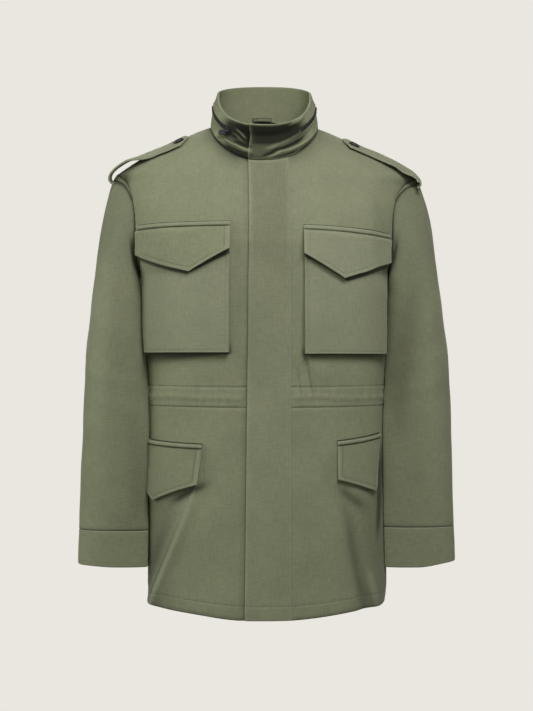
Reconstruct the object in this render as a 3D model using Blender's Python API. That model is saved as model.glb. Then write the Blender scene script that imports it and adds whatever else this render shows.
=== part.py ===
"""A field jacket of cotton twill, hollow and filled out as when worn, its sleeves hanging at its sides.

Metres, +Z up. The front faces -Y and the wearer's left is +X. The origin is the middle of the neck, level
with the points where the shoulder seams meet the collar. Every cloth piece is a closed wall between an outer
and an inner grid of points, and what lies on a panel is made from that panel's own points, moved out.
"""

import math
from collections import namedtuple

import bmesh
import bpy
import numpy as np

# ------------------------------------------------------------------ driving sizes
SEAM_GAP = 0.0003  # between pieces that are sewn, laid or set against each other
LAY_GAP = 0.0012  # under pieces that lie on a panel, whose straight facets would else cut its corners
CLOTH = 0.002  # wall of a single ply with its turned seams
DOUBLE = 0.003  # wall of two plies: fly, cuffs, flaps and straps
COLLAR_WALL = 0.0035  # the collar also holds a folded hood

SECTION_POWER = 2.8  # of the body's superellipse section: squarer than an ellipse, as cloth hangs
CREST_POWER = {-1: 1.5, 1: 2.4}  # of the curve that rounds the front and the back over the shoulders
CREST_POWER_END = 1.6  # of both at the shoulder's end
SHOULDER_HALF = 0.237  # from the middle to the armhole seam at the shoulder's end
SHOULDER_SEAM_BACK = 0.005  # the shoulder seam lies this far behind the side seams' plane
ARMHOLE_MID = -0.171  # level where the armhole is deepest from front to back
UNDERARM = -0.240  # level of the armhole's lowest point
ARMHOLE_HALF = {-1: 0.075, 1: 0.080}  # half depth of the armhole in front (-1) and behind (1)

BodyRow = namedtuple("BodyRow", "level half_width front back")
BODY = (  # half width to the side seam, or to the armhole seam above the underarm, and the depths
    BodyRow(-0.790, 0.185, 0.150, 0.140),
    BodyRow(-0.757, 0.187, 0.150, 0.139),
    BodyRow(-0.725, 0.190, 0.149, 0.137),
    BodyRow(-0.600, 0.189, 0.147, 0.132),
    BodyRow(-0.436, 0.1885, 0.145, 0.126),
    BodyRow(-0.360, 0.193, 0.147, 0.128),
    BodyRow(-0.308, 0.196, 0.149, 0.131),
    BodyRow(-0.240, 0.203, 0.150, 0.133),
    BodyRow(-0.206, 0.2085, 0.150, 0.133),
    BodyRow(-0.151, 0.2100, 0.150, 0.133),
    BodyRow(-0.121, 0.2145, 0.150, 0.133),
    BodyRow(-0.093, 0.2225, 0.150, 0.133),
    BodyRow(-0.074, SHOULDER_HALF, 0.150, 0.133),
    BodyRow(0.080, SHOULDER_HALF, 0.150, 0.133),
)
NECK_HALF = 0.086  # half width of the neck seam
NECK_DEPTH = {-1: 0.093, 1: 0.067}  # of the neck seam in front of and behind the shoulder seam
NECK_POWER = 2.35  # of the neck seam's superellipse, seen from above
CrestRow = namedtuple("CrestRow", "across front back")
CREST = (  # height of the shoulder crest, which front and back would share over the neck as drawn here
    CrestRow(0.000, 0.0130, 0.0390),
    CrestRow(0.030, 0.0105, 0.0305),
    CrestRow(0.050, 0.0078, 0.0190),
    CrestRow(0.066, 0.0050, 0.0100),
    CrestRow(0.078, 0.0022, 0.0033),
    CrestRow(NECK_HALF, 0.0000, 0.0000),
    CrestRow(0.100, -0.0045, -0.0045),
    CrestRow(0.129, -0.0165, -0.0165),
    CrestRow(0.152, -0.0275, -0.0275),
    CrestRow(0.175, -0.0372, -0.0372),
    CrestRow(0.206, -0.0535, -0.0535),
    CrestRow(0.230, -0.0690, -0.0690),
    CrestRow(SHOULDER_HALF, -0.0740, -0.0740),
)
CREST_FOOT = {-1: -0.195, 1: -0.170}  # level at the middle where the body has its full depth
HEM_SIDE = -0.752  # level of the hem at the side seams
HEM_DIP = {-1: 0.014, 1: 0.009}  # how much lower the hem is at the middle, in front and behind
WAIST = (-0.4425, -0.4115)  # the drawcord tunnel's lower and upper stitch lines
WAIST_RISE = 0.0012  # the tunnel stands this proud

Fold = namedtuple("Fold", "x_top z_top x_low z_low spread rise")
FOLDS = {  # soft ridges (rise above 0) and troughs, each along a line
    -1: (
        Fold(-0.112, -0.560, -0.165, -0.757, 0.030, 0.006),
        Fold(-0.070, -0.600, -0.095, -0.770, 0.034, -0.003),
        Fold(0.122, -0.570, 0.158, -0.745, 0.030, -0.005),
        Fold(0.045, -0.350, 0.080, -0.395, 0.022, 0.002),
    ),
    1: (
        Fold(-0.095, -0.470, -0.130, -0.757, 0.036, 0.005),
        Fold(0.088, -0.480, 0.118, -0.757, 0.034, 0.005),
        Fold(-0.110, -0.200, -0.060, -0.395, 0.034, -0.003),
        Fold(0.118, -0.190, 0.066, -0.395, 0.034, -0.003),
    ),
}
NECK_LEAN = 0.0035  # the collar hangs this much towards the wearer's right

FLY_ROOT = 0.0363  # seam between the storm fly and the left front
FLY_EDGE = (-0.0255, -0.0330)  # its free edge at the neck and at the hem
LAP_DEPTH = DOUBLE + SEAM_GAP  # the right front lies this much deeper under the fly
LAP_CLEAR = 0.0027  # and has that depth from this far outside the fly's edge

COLLAR_HEIGHT = {-1: 0.055, 0: 0.056, 1: 0.054}  # in front, at the sides and behind
COLLAR_TOP_HALF = 0.0750  # half width of its upper edge
COLLAR_TOP_DEPTH = {-1: 0.087, 1: 0.062}
COLLAR_BULGE = 0.002
ZIP_HEIGHT = 0.60  # of the zip up the collar, as a share of the collar's height
ZIP_WIDTH = 0.007
ZIP_WALL = 0.0016
ZIP_CLEAR = 0.0009  # off the collar, whose own wall is straight between its columns
ZIP_ENDS = (-39.6, 41.7)  # degrees round the neck from the front, wearer's right and left

SleeveRow = namedtuple("SleeveRow", "level outer inner front back")
SLEEVE = (  # the hanging sleeve's level sections, before its inner side is pressed flat by the body
    SleeveRow(-0.720, 0.2965, 0.1800, -0.072, 0.004),
    SleeveRow(-0.701, 0.2965, 0.1800, -0.073, 0.006),
    SleeveRow(-0.636, 0.2955, 0.1790, -0.077, 0.014),
    SleeveRow(-0.540, 0.2935, 0.1780, -0.084, 0.036),
    SleeveRow(-0.452, 0.2905, 0.1790, -0.088, 0.054),
    SleeveRow(-0.372, 0.2870, 0.1840, -0.092, 0.068),
    SleeveRow(-0.300, 0.2785, 0.1900, -0.095, 0.080),
)
SLEEVE_POWER = 2.4
SLEEVE_CLEAR = 0.0022  # between a sleeve and the body
LEFT_SLEEVE_IN = 0.005  # the left sleeve hangs this much further in over the front
CAP_FOOT = -0.300  # level where the sleeve head's curves have become a level section
CUFF_SEAM = -0.636
CUFF_END = -0.701
GUSSET_REACH = 0.25  # share of the sleeve head's curve that the gusset takes at the shoulder's end
GUSSET_COLUMNS = 3  # grid columns from the shoulder's end to its tips

Pocket = namedtuple("Pocket", "side inner outer top_inner top_outer bottom outer_low")
CHEST_POCKETS = (  # distances from the middle and levels; the outer edge moves in towards the bottom
    Pocket("right", 0.0555, 0.1955, -0.1640, -0.1665, -0.3600, 0.1815),
    Pocket("left", 0.0555, 0.1925, -0.1655, -0.1790, -0.3620, 0.1805),
)
POCKET_DEPTH = (0.0045, 0.0125)  # how far the bag stands out at its top and at its bottom
BAG_BELOW_RIDGE = 0.013  # the bag's open top lies this far below the flap's upper edge
Flap = namedtuple("Flap", "name side inner outer top_inner top_outer drop_inner drop_tip drop_outer tip")
FLAPS = (  # tip is where the point comes, as a share of the width from the inner end
    Flap("chest", "right", 0.0545, 0.1975, -0.1630, -0.1650, 0.041, 0.073, 0.047, 0.30),
    Flap("chest", "left", 0.0555, 0.1925, -0.1640, -0.1780, 0.043, 0.075, 0.044, 0.31),
    Flap("lower", "right", 0.1030, 0.1815, -0.5000, -0.4950, 0.062, 0.096, 0.084, 0.75),
    Flap("lower", "left", 0.1100, 0.1790, -0.4970, -0.4870, 0.057, 0.086, 0.072, 0.56),
)
RIDGE_HEIGHT = 0.0058  # of the folded band along a flap's upper edge
RIDGE_WIDTH = 0.0062
BAND_GAP = 0.0008  # under the band, which is sewn down
FLAP_LIFT = 0.0019  # under a flap, below its band

StrapRow = namedtuple("StrapRow", "across level")
STRAP_ON = (0.122, 0.139, 0.156, 0.174, 0.192, 0.204)  # where the strap lies on the shoulder
STRAP_OFF = (  # and its middle line where it stands off the shoulder's end, to its root on the gusset
    StrapRow(0.2205, -0.0538),
    StrapRow(0.2350, -0.0612),
    StrapRow(0.2455, -0.0690),
    StrapRow(0.2518, -0.0765),
    StrapRow(0.2518, -0.0815),
    StrapRow(0.2485, -0.0848),
)
STRAP_HALF_WIDTH = 0.0235
STRAP_MIDDLE = -0.017  # the strap's middle lies in front of the shoulder's crest
STRAP_BEND_LIMIT = 0.180  # outward of here it keeps the bend that the shoulder has here,
STRAP_FLAT = (0.192, 0.232)  # and loses most of it between these distances, where it stands off
STRAP_STIFF = 0.7  # share of the bend that it loses
STRAP_TIP = 0.012  # its end is cut to a blunt point, this long
BUTTON_ACROSS = 0.139
BUTTON_RADIUS = 0.0088
BUTTON_HEIGHT = 0.0030

SLIDER_TURN = -38.5  # degrees round the neck
SLIDER_HEIGHT = 0.535  # share of the collar's height
SLIDER_SIZE = (0.0110, 0.0090, 0.0028)  # along the zip, across it, thick
BRIDGE = (0.0080, 0.0026, 0.0034)  # the slider's bridge: long, wide, high
BRIDGE_WALL = 0.0010
PULL_SIZE = (0.0165, 0.0078, 0.0012)  # the tab: long, wide, thick
PULL_EYE = (0.0044, 0.0034)  # its window, that goes over the bridge
PULL_BAR = 0.0011  # the bar between the window and its end, which turns under the bridge
PULL_CORNER = 0.0015
PULL_LIFT = 0.0009  # between the slider's body and the bar
PULL_TILT = 7.0  # degrees that the tab's free end hangs in towards the collar

LOOP_SPAN = (-0.0185, 0.0115)
LOOP_LEVELS = (0.0175, 0.0240)
LOOP_WALL = 0.0015
LOOP_STAND = 0.0065

# ------------------------------------------------------------------ grid rows and columns
LOWER_LEVELS = (
    HEM_SIDE, -0.705, -0.650, -0.595, -0.540, -0.485, -0.4455, WAIST[0], WAIST[1], -0.4080,
    -0.365, -0.325, -0.280, UNDERARM, -0.232, -0.209, ARMHOLE_MID,
)  # fmt: skip
UNDERARM_ROW = LOWER_LEVELS.index(UNDERARM)
CREST_STEPS = 5  # rows from the armhole's deepest level up to the shoulder seam
SIDE_COLUMNS = (0.50, 0.63, 0.75, 0.85, 0.92, 0.965, 0.99, 1.0)  # shares of the shoulder's width
LEFT_NECK = (21.3, 36.0, 50.0, 64.0, 77.0, 90.0)  # degrees round the neck seam
FLY_NECK = (-13.9, -4.0, 6.8, 21.3)
RIGHT_NECK = (5.6, -5.0, -15.65, -25.5, -38.0, -51.0, -65.0, -78.0, -90.0)
BACK_NECK = (90.0, 102.0, 116.0, 132.0, 152.0, 180.0)


def smooth(table, column, at):
    """A table's column at any place of its first column, by a cubic that never overshoots the rows."""
    x = np.array([row[0] for row in table])
    y = np.array([getattr(row, column) for row in table])
    step = np.diff(x)
    slope = np.diff(y) / step
    product = slope[:-1] * slope[1:]
    total = slope[:-1] + slope[1:]
    tangent = np.zeros_like(y)
    tangent[1:-1] = np.where(product > 0, 2 * product / np.where(product > 0, total, 1), 0)
    tangent[0], tangent[-1] = slope[0], slope[-1]
    k = np.clip(np.searchsorted(x, at) - 1, 0, len(step) - 1)
    t = np.clip((at - x[k]) / step[k], 0, 1)
    rise = y[k] + (y[k + 1] - y[k]) * (3 * t**2 - 2 * t**3)
    return rise + step[k] * (tangent[k] * (t - 2 * t**2 + t**3) + tangent[k + 1] * (t**3 - t**2))


def soft_step(value, low, high):
    """0 below low, 1 above high, and a smooth S between them."""
    t = np.clip((value - low) / (high - low), 0, 1)
    return t * t * (3 - 2 * t)


# ------------------------------------------------------------------ the body's surface
def section_share(z, face):
    """Share of the full superellipse at the armhole seam: 1 at the side seam, less where a sleeve leaves."""
    below = np.clip((ARMHOLE_MID - z) / (ARMHOLE_MID - UNDERARM), 0, 1)
    side = "front" if face < 0 else "back"
    depth = ARMHOLE_HALF[face] * np.sqrt(1 - below**2) / smooth(BODY, side, z)
    return (1 - depth**SECTION_POWER) ** (1 / SECTION_POWER)


def full_depth(x, z, face):
    """Depth of the body at a distance x from the middle, before it rounds off to the shoulder crest."""
    part = section_share(z, face) * np.abs(x) / smooth(BODY, "half_width", z)
    side = "front" if face < 0 else "back"
    rest = np.clip(1 - np.clip(part, 0, 1) ** SECTION_POWER, 0, 1)
    return smooth(BODY, side, z) * rest ** (1 / SECTION_POWER)


def crest(across, face):
    """Height of the shoulder crest at a distance from the middle."""
    return smooth(CREST, "front" if face < 0 else "back", np.abs(across))


def crest_drop(across, face):
    """Height over which the body rounds off below the crest."""
    share = soft_step(np.abs(across), 0.04, SHOULDER_HALF)
    return crest(across, face) - CREST_FOOT[face] - (ARMHOLE_MID - CREST_FOOT[face]) * share


def crest_power(across, face):
    """Power of the curve that rounds the body off below the crest."""
    share = soft_step(np.abs(across), 0.04, SHOULDER_HALF)
    return CREST_POWER[face] + (CREST_POWER_END - CREST_POWER[face]) * share


def crest_round(across, h, face):
    """Share of the full depth at h, which is 0 at the crest and 1 at its foot: (1 - (1 - h)^p)^(1/p)."""
    power = crest_power(across, face)
    return (1 - (1 - np.clip(h, 0, 1)) ** power) ** (1 / power)


def below_crest(across, part, face):
    """The level at which the body has a part of its full depth: crest_round turned round."""
    power = crest_power(across, face)
    return crest(across, face) - crest_drop(across, face) * (1 - (1 - part**power) ** (1 / power))


def seam_plane(z):
    """y of the plane of the side seams, which leans back to the shoulder seams."""
    return SHOULDER_SEAM_BACK * soft_step(z, UNDERARM, -0.071)


def body_y(x, z, face):
    """y of the body's outer surface."""
    across = np.abs(x) / smooth(BODY, "half_width", z) * SHOULDER_HALF
    h = (crest(across, face) - z) / crest_drop(across, face)
    return seam_plane(z) + face * full_depth(x, z, face) * crest_round(across, h, face)


def body_normal(x, y, z, face):
    """The surface's outward direction, from the slopes of |y|^p - depth^p (1 - (1 - h)^p)."""

    def equation(x, y, z):
        across = np.abs(x) / smooth(BODY, "half_width", z) * SHOULDER_HALF
        power = crest_power(across, face)
        h = np.clip((crest(across, face) - z) / crest_drop(across, face), 0, 1)
        here = np.abs(y - seam_plane(z)) / smooth(BODY, "front" if face < 0 else "back", z)
        depth = full_depth(x, z, face) / smooth(BODY, "front" if face < 0 else "back", z)
        return here**power - depth**power * (1 - (1 - h) ** power)

    d = 0.0001
    slope = np.stack(
        (
            equation(x + d, y, z) - equation(x - d, y, z),
            equation(x, y + d, z) - equation(x, y - d, z),
            equation(x, y, z + d) - equation(x, y, z - d),
        ),
        axis=-1,
    )
    return slope / np.maximum(np.linalg.norm(slope, axis=-1, keepdims=True), 1e-12)


def relief(x, z, face):
    """How far folds and the waist tunnel raise the cloth."""
    fade = 0.003
    rise = WAIST_RISE * soft_step(z, WAIST[0] - fade, WAIST[0]) * soft_step(-z, -WAIST[1] - fade, -WAIST[1])
    for fold in FOLDS[face]:
        dx, dz = fold.x_low - fold.x_top, fold.z_low - fold.z_top
        along = ((x - fold.x_top) * dx + (z - fold.z_top) * dz) / (dx * dx + dz * dz)
        gone = np.hypot(x - fold.x_top - along * dx, z - fold.z_top - along * dz) / fold.spread
        ends = soft_step(along, -0.1, 0.5) * soft_step(-along, -1.5, -0.9)
        rise = rise + fold.rise * ends * np.exp(-2 * gone**2)
    return rise


def body(x, z, face, out=0.0):
    """A point of the body at (x, z), moved out along the surface's normal."""
    x, z = np.broadcast_arrays(np.asarray(x, float), np.asarray(z, float))
    y = body_y(x, z, face)
    raised = relief(x, z, face) * soft_step(np.abs(y), 0.0, 0.04)
    normal = body_normal(x, y, z, face)
    place = np.stack((x, y + face * SEAM_GAP / 2, z), axis=-1)
    return place + normal * (raised + out)[..., None]


def neck_round(turn):
    """(across, ahead) of a unit superellipse, turn degrees round from the front."""
    s, c = np.sin(np.radians(turn)), np.cos(np.radians(turn))
    power = 2 / NECK_POWER
    return np.sign(s) * np.abs(s) ** power, np.sign(c) * np.abs(c) ** power


def neck_point(turn, face):
    """(x, z) of the neck seam, turn degrees round from the front."""
    across, ahead = neck_round(turn)
    x, ahead = NECK_HALF * across, NECK_DEPTH[face] * np.abs(ahead)
    part = np.clip(ahead / full_depth(x, np.zeros_like(x), face), 0, 1)
    return x, below_crest(x, part, face)


# ------------------------------------------------------------------ turning grids into objects
def settle(points):
    """The way this jacket hangs: its collar leans a little to the wearer's right."""
    moved = np.array(points, float)
    near = soft_step(moved[..., 2], -0.16, -0.03) * soft_step(-np.abs(moved[..., 0]), -0.17, -0.09)
    moved[..., 0] -= NECK_LEAN * near
    return moved


def material(name, colour, roughness, metallic=0.0):
    """A Principled material in the piece's own colour (linear RGB)."""
    made = bpy.data.materials.new(name)
    made.use_nodes = True
    shader = made.node_tree.nodes["Principled BSDF"]
    shader.inputs["Base Color"].default_value = (*colour, 1.0)
    shader.inputs["Roughness"].default_value = roughness
    shader.inputs["Metallic"].default_value = metallic
    made.diffuse_color = (*colour, 1.0)
    return made


def add_object(name, mesh_data, finish, sharp=35.0):
    """Makes an object of a bmesh, with its faces turned out and its round parts shaded smooth."""
    bmesh.ops.recalc_face_normals(mesh_data, faces=mesh_data.faces)
    mesh = bpy.data.meshes.new(name)
    mesh_data.to_mesh(mesh)
    mesh_data.free()
    mesh.materials.append(finish)
    mesh.shade_smooth()
    mesh.set_sharp_from_angle(angle=math.radians(sharp))
    made = bpy.data.objects.new(name, mesh)
    bpy.context.scene.collection.objects.link(made)
    return made


def wall(name, outer, inner, finish, closed=False):
    """A closed wall between two grids (rows, columns, xyz). closed joins the last column to the first."""
    rows, columns = outer.shape[:2]
    points = settle(np.concatenate((outer.reshape(-1, 3), inner.reshape(-1, 3))))
    inside = rows * columns
    span = columns if closed else columns - 1

    def corner(layer, row, column):
        return layer * inside + row * columns + column % columns

    faces = []
    for row in range(rows - 1):
        for column in range(span):
            ring = ((row, column), (row, column + 1), (row + 1, column + 1), (row + 1, column))
            faces.append([corner(0, *at) for at in ring])
            faces.append([corner(1, *ring[k]) for k in (2, 1, 0, 3)])  # split along the same diagonal
    edges = [((row, column), (row, column + 1)) for row in (0, rows - 1) for column in range(span)]
    if not closed:
        ends = (0, columns - 1)
        edges += [((row, column), (row + 1, column)) for column in ends for row in range(rows - 1)]
    for a, b in edges:
        faces.append([corner(0, *a), corner(0, *b), corner(1, *b), corner(1, *a)])
    mesh_data = bmesh.new()
    made = [mesh_data.verts.new(point) for point in points]
    for face in faces:
        mesh_data.faces.new([made[k] for k in face])
    return add_object(name, mesh_data, finish)


def grid_normals(points, closed=False):
    """Normals of a grid of points (rows, columns, xyz), by the cross product of its two directions."""
    if closed:
        across = np.roll(points, -1, axis=1) - np.roll(points, 1, axis=1)
    else:
        across = np.gradient(points, axis=1)
    normal = np.cross(across, np.gradient(points, axis=0))
    return normal / np.linalg.norm(normal, axis=-1, keepdims=True)


# ------------------------------------------------------------------ body panels
def panel_levels(top_across, face, turns):
    """Levels of a panel's columns, from hem to neck or shoulder seam, one column per place on top."""
    across = np.abs(top_across)
    foot = crest(across, face) - crest_drop(across, face)
    row = (np.array(LOWER_LEVELS)[:, None] - HEM_SIDE) / (ARMHOLE_MID - HEM_SIDE)
    dip = HEM_DIP[face] * np.cos(np.clip(across / SHOULDER_HALF, 0, 1) * math.pi / 2) ** 2
    lower = np.array(LOWER_LEVELS)[:, None] - dip * (1 - row) ** 3 + (foot - ARMHOLE_MID) * row**6
    in_neck = across < NECK_HALF
    neck_z = neck_point(turns, face)[1]
    top = np.where(in_neck, neck_z, crest(across, face))
    top_share = np.clip((crest(across, face) - top) / crest_drop(across, face), 0, 1)
    power = crest_power(across, face)
    first = np.arccos((1 - top_share) ** (power / 2))
    turn = math.pi / 2 + (first - math.pi / 2) * (np.arange(1, CREST_STEPS + 1) / CREST_STEPS)[:, None]
    drop = 1 - np.clip(np.cos(turn), 0, 1) ** (2 / power)
    upper = crest(across, face) - crest_drop(across, face) * drop
    return np.concatenate((lower, upper))


def panel_grid(face, neck_turns, side, edge=None):
    """(x, z) grids of a panel. neck_turns are its columns under the neck seam, and side, -1 or 1, adds those
    out to the side seam and armhole. edge(z) is a line that the column at the fly's edge keeps to."""
    turns = np.array(neck_turns)
    top = NECK_HALF * neck_round(turns)[0]
    shoulder = side * SHOULDER_HALF * np.array(SIDE_COLUMNS)
    top = np.concatenate((top, shoulder))
    turns = np.concatenate((turns, np.full(len(shoulder), 90.0)))
    z = panel_levels(top, face, turns)
    start, start_top = (edge(z), edge(z[-1, 0])) if edge else (top[0], top[0])
    share = (top - start_top) / (side * SHOULDER_HALF - start_top)
    x = start + (side * smooth(BODY, "half_width", z) - start) * share
    return np.where(share < 0, start + (top - start_top), x), z


def fly_grid():
    """(x, z) grids of the storm fly, between its free edge and its seam."""
    top = NECK_HALF * neck_round(np.array(FLY_NECK))[0]
    z = panel_levels(top, -1, np.array(FLY_NECK))
    share = (top - top[0]) / (top[-1] - top[0])
    return fly_edge(z) + (FLY_ROOT - SEAM_GAP - fly_edge(z)) * share, z


def fly_edge(z):
    """x of the storm fly's free edge."""
    return np.interp(z, (HEM_SIDE, -0.061), (FLY_EDGE[1], FLY_EDGE[0]))


def lap_line(z):
    """x from which the right front lies at its full depth, just outside the fly's edge."""
    return fly_edge(z) - LAP_CLEAR


def lap(x, z):
    """1 where the right front lies under the fly, 0 beside it."""
    return soft_step(x, lap_line(z) - 0.014, lap_line(z))


def make_fronts(twill):
    """The two fronts and the fly that closes them."""
    x, z = panel_grid(-1, LEFT_NECK, 1)
    wall("front_left", body(x, z, -1), body(x, z, -1, -CLOTH), twill)
    x, z = fly_grid()
    wall("storm_fly", body(x, z, -1), body(x, z, -1, -DOUBLE), twill)
    x, z = panel_grid(-1, RIGHT_NECK, -1, edge=lap_line)
    under = LAP_DEPTH * lap(x, z)
    wall("front_right", body(x, z, -1, -under), body(x, z, -1, -under - CLOTH), twill)


def back_grid():
    """(x, z) grids of the back, from its right side seam to its left one."""
    half = NECK_HALF * neck_round(np.array(BACK_NECK))[0]
    half = np.concatenate((SHOULDER_HALF * np.array(SIDE_COLUMNS)[::-1], half))
    turns = np.concatenate((np.full(len(SIDE_COLUMNS), 90.0), BACK_NECK))
    top = np.concatenate((-half, half[-2::-1]))
    z = panel_levels(top, 1, np.concatenate((turns, turns[-2::-1])))
    return top / SHOULDER_HALF * smooth(BODY, "half_width", z), z


def make_back(twill):
    """The back, in one panel."""
    x, z = back_grid()
    wall("back", body(x, z, 1), body(x, z, 1, -CLOTH), twill)


# ------------------------------------------------------------------ sleeves
def armhole(side):
    """The armhole seam as a closed loop: shoulder's end, down the front to the underarm, up the back."""
    z = panel_levels(np.array([SHOULDER_HALF]), -1, np.array([90.0]))[UNDERARM_ROW:, 0]
    x = side * smooth(BODY, "half_width", z)
    front, back = body(x, z, -1), body(x, z, 1)
    loop = np.concatenate((front[::-1], back[1:-1]))
    loop[0, 1], loop[len(front) - 1, 1] = seam_plane(z[-1]), seam_plane(z[0])
    return loop


def body_side(y, level):
    """Distance from the middle of the body's side at a place y, below the underarm."""
    depth = np.where(y < 0, smooth(BODY, "front", level), smooth(BODY, "back", level))
    rest = 1 - np.clip(np.abs(y) / depth, 0, 1) ** SECTION_POWER
    return smooth(BODY, "half_width", level) * rest ** (1 / SECTION_POWER)


def sleeve_section(level, side, columns):
    """A level section of the sleeve: a superellipse from its outer edge to the front, inside and back,
    pressed flat where it would cut the body."""
    outer, inner = smooth(SLEEVE, "outer", level), smooth(SLEEVE, "inner", level)
    inner = inner - LEFT_SLEEVE_IN * (side > 0)
    front, back = smooth(SLEEVE, "front", level), smooth(SLEEVE, "back", level)
    turn = np.arange(columns) / columns * 2 * math.pi
    power = 2 / SLEEVE_POWER
    across = np.sign(np.cos(turn)) * np.abs(np.cos(turn)) ** power
    ahead = np.sign(np.sin(turn)) * np.abs(np.sin(turn)) ** power
    y = (front + back) / 2 - (back - front) / 2 * ahead
    x = (outer + inner) / 2 + (outer - inner) / 2 * across
    x = side * np.maximum(x, body_side(y, level) + SLEEVE_CLEAR)
    return np.stack((x, y, np.full(columns, level)), axis=-1)


def cap_curve(loop, side, t):
    """Cubic curves from the armhole to the sleeve's first level section. t has a share for each column."""
    columns = len(loop)
    turn = np.arange(columns) / columns * 2 * math.pi
    start = loop + np.array((side * SEAM_GAP, 0, 0))
    end = sleeve_section(CAP_FOOT, side, columns)
    crown = (1 + np.cos(turn)) / 2
    leave = 0.009 + 0.007 * crown + 0.010 * np.sin(turn) ** 2
    first = start + np.stack((side * leave, -0.003 * np.sin(turn), -0.45 * leave), axis=-1)
    last = end + np.stack((-side * 0.016 * crown, 0 * turn, 0.60 * (start[:, 2] - end[:, 2])), axis=-1)
    t = np.asarray(t)[..., None]
    curve = (1 - t) ** 3 * start + 3 * t * (1 - t) ** 2 * first + 3 * t**2 * (1 - t) * last + t**3 * end
    below = UNDERARM - curve[..., 2]
    clear = body_side(curve[..., 1], curve[..., 2]) + SLEEVE_CLEAR * soft_step(below, 0.0, 0.010)
    curve[..., 0] = side * np.maximum(side * curve[..., 0], np.where(below > 0, clear, 0.0))
    return curve


def cap_normals(loop, side, t):
    """Outward directions of the sleeve head at the same places."""
    down = cap_curve(loop, side, t + 0.01) - cap_curve(loop, side, t - 0.01)
    here = cap_curve(loop, side, t)
    around = np.roll(here, -1, axis=-2) - np.roll(here, 1, axis=-2)
    normal = side * np.cross(around, down)
    return normal / np.linalg.norm(normal, axis=-1, keepdims=True)


def cap_wall(loop, side, shares):
    """Outer and inner points of the sleeve head; at the armhole the wall lies in the seam's plane."""
    outer = np.stack([cap_curve(loop, side, t) for t in shares])
    inner = outer - CLOTH * np.stack([cap_normals(loop, side, t) for t in shares])
    middle = loop.mean(axis=0)
    inward = (middle - loop) * (0, 1, 1)
    inward = inward / np.linalg.norm(inward, axis=-1, keepdims=True)
    at_seam = np.asarray(shares[0]) < 0.001
    inner[0] = np.where(at_seam[:, None], outer[0] + CLOTH * inward, inner[0])
    return outer, inner


def gusset_share(columns):
    """The gusset's lower edge, as a share of each column's curve, and 0 beyond its tips."""
    away = np.minimum(np.arange(columns), columns - np.arange(columns))
    tip = 0.008
    return np.where(away > GUSSET_COLUMNS, 0.0, GUSSET_REACH * np.clip(1 - away / GUSSET_COLUMNS, 0, 1) + tip)


def make_sleeve(side, name, twill):
    """A gusset over the shoulder's end, the sleeve below it, and the cuff."""
    loop = armhole(side)
    columns = len(loop)
    edge = gusset_share(columns)
    outer, inner = cap_wall(loop, side, [edge * share for share in (0.0, 0.5, 1.0)])
    kept = np.arange(-GUSSET_COLUMNS, GUSSET_COLUMNS + 1)
    wall(f"gusset_{name}", outer[:, kept], inner[:, kept], twill)

    begin = np.where(edge > 0, edge + SEAM_GAP / 0.15, 0.0)
    steps = (0.0, 0.10, 0.26, 0.46, 0.72, 1.0)
    outer, inner = cap_wall(loop, side, [begin + (1 - begin) * step for step in steps])
    levels = np.linspace(CAP_FOOT, CUFF_SEAM, 7)[1:]
    lower = np.stack([sleeve_section(level, side, columns) for level in levels])
    outer = np.concatenate((outer, lower))
    normals = grid_normals(outer, closed=True)
    normals *= np.sign((normals[-1, 0, 0]) * side)
    thin = outer - CLOTH * normals
    thin[: len(steps) - 1] = inner[:-1]
    wall(f"sleeve_{name}", outer, thin, twill, closed=True)

    levels = (CUFF_SEAM - SEAM_GAP, (CUFF_SEAM + CUFF_END) / 2, CUFF_END)
    outer = np.stack([sleeve_section(level, side, columns) for level in levels])
    normals = grid_normals(outer, closed=True)
    normals *= np.sign(normals[0, 0, 0] * side)
    wall(f"cuff_{name}", outer, outer - DOUBLE * normals * (1, 1, 0), twill, closed=True)


# ------------------------------------------------------------------ collar
def collar_line(turn, up):
    """The collar's outer face: turn degrees round the neck from the front, up as a share of its height."""
    turn, up = np.broadcast_arrays(np.asarray(turn, float), np.asarray(up, float))
    s, c = neck_round(turn)
    low_z = np.where(c > 0, neck_point(turn, -1)[1], neck_point(turn, 1)[1]) + SEAM_GAP
    low_y = SHOULDER_SEAM_BACK - np.where(c > 0, NECK_DEPTH[-1], NECK_DEPTH[1]) * c
    top_y = SHOULDER_SEAM_BACK - np.where(c > 0, COLLAR_TOP_DEPTH[-1], COLLAR_TOP_DEPTH[1]) * c
    middle = neck_point(np.array([0.0]), -1)[1][0], neck_point(np.array([180.0]), 1)[1][0]
    top_front = middle[0] + COLLAR_HEIGHT[-1]
    top_back = middle[1] + COLLAR_HEIGHT[1]
    top_z = COLLAR_HEIGHT[0] + np.where(c > 0, top_front - COLLAR_HEIGHT[0], COLLAR_HEIGHT[0] - top_back) * c
    bulge = 1 + COLLAR_BULGE / NECK_HALF * 4 * up * (1 - up)
    x = (NECK_HALF + (COLLAR_TOP_HALF - NECK_HALF) * up) * s * bulge
    y = SHOULDER_SEAM_BACK + (low_y + (top_y - low_y) * up - SHOULDER_SEAM_BACK) * bulge
    return np.stack((x, y, low_z + (top_z - low_z) * up), axis=-1)


def collar_out(turn, up):
    """The collar's outward direction."""
    d = 1.0
    around = collar_line(turn + d, up) - collar_line(turn - d, up)
    rising = collar_line(turn, np.asarray(up) + 0.02) - collar_line(turn, np.asarray(up) - 0.02)
    normal = np.cross(around, rising)
    return normal / np.linalg.norm(normal, axis=-1, keepdims=True)


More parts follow.
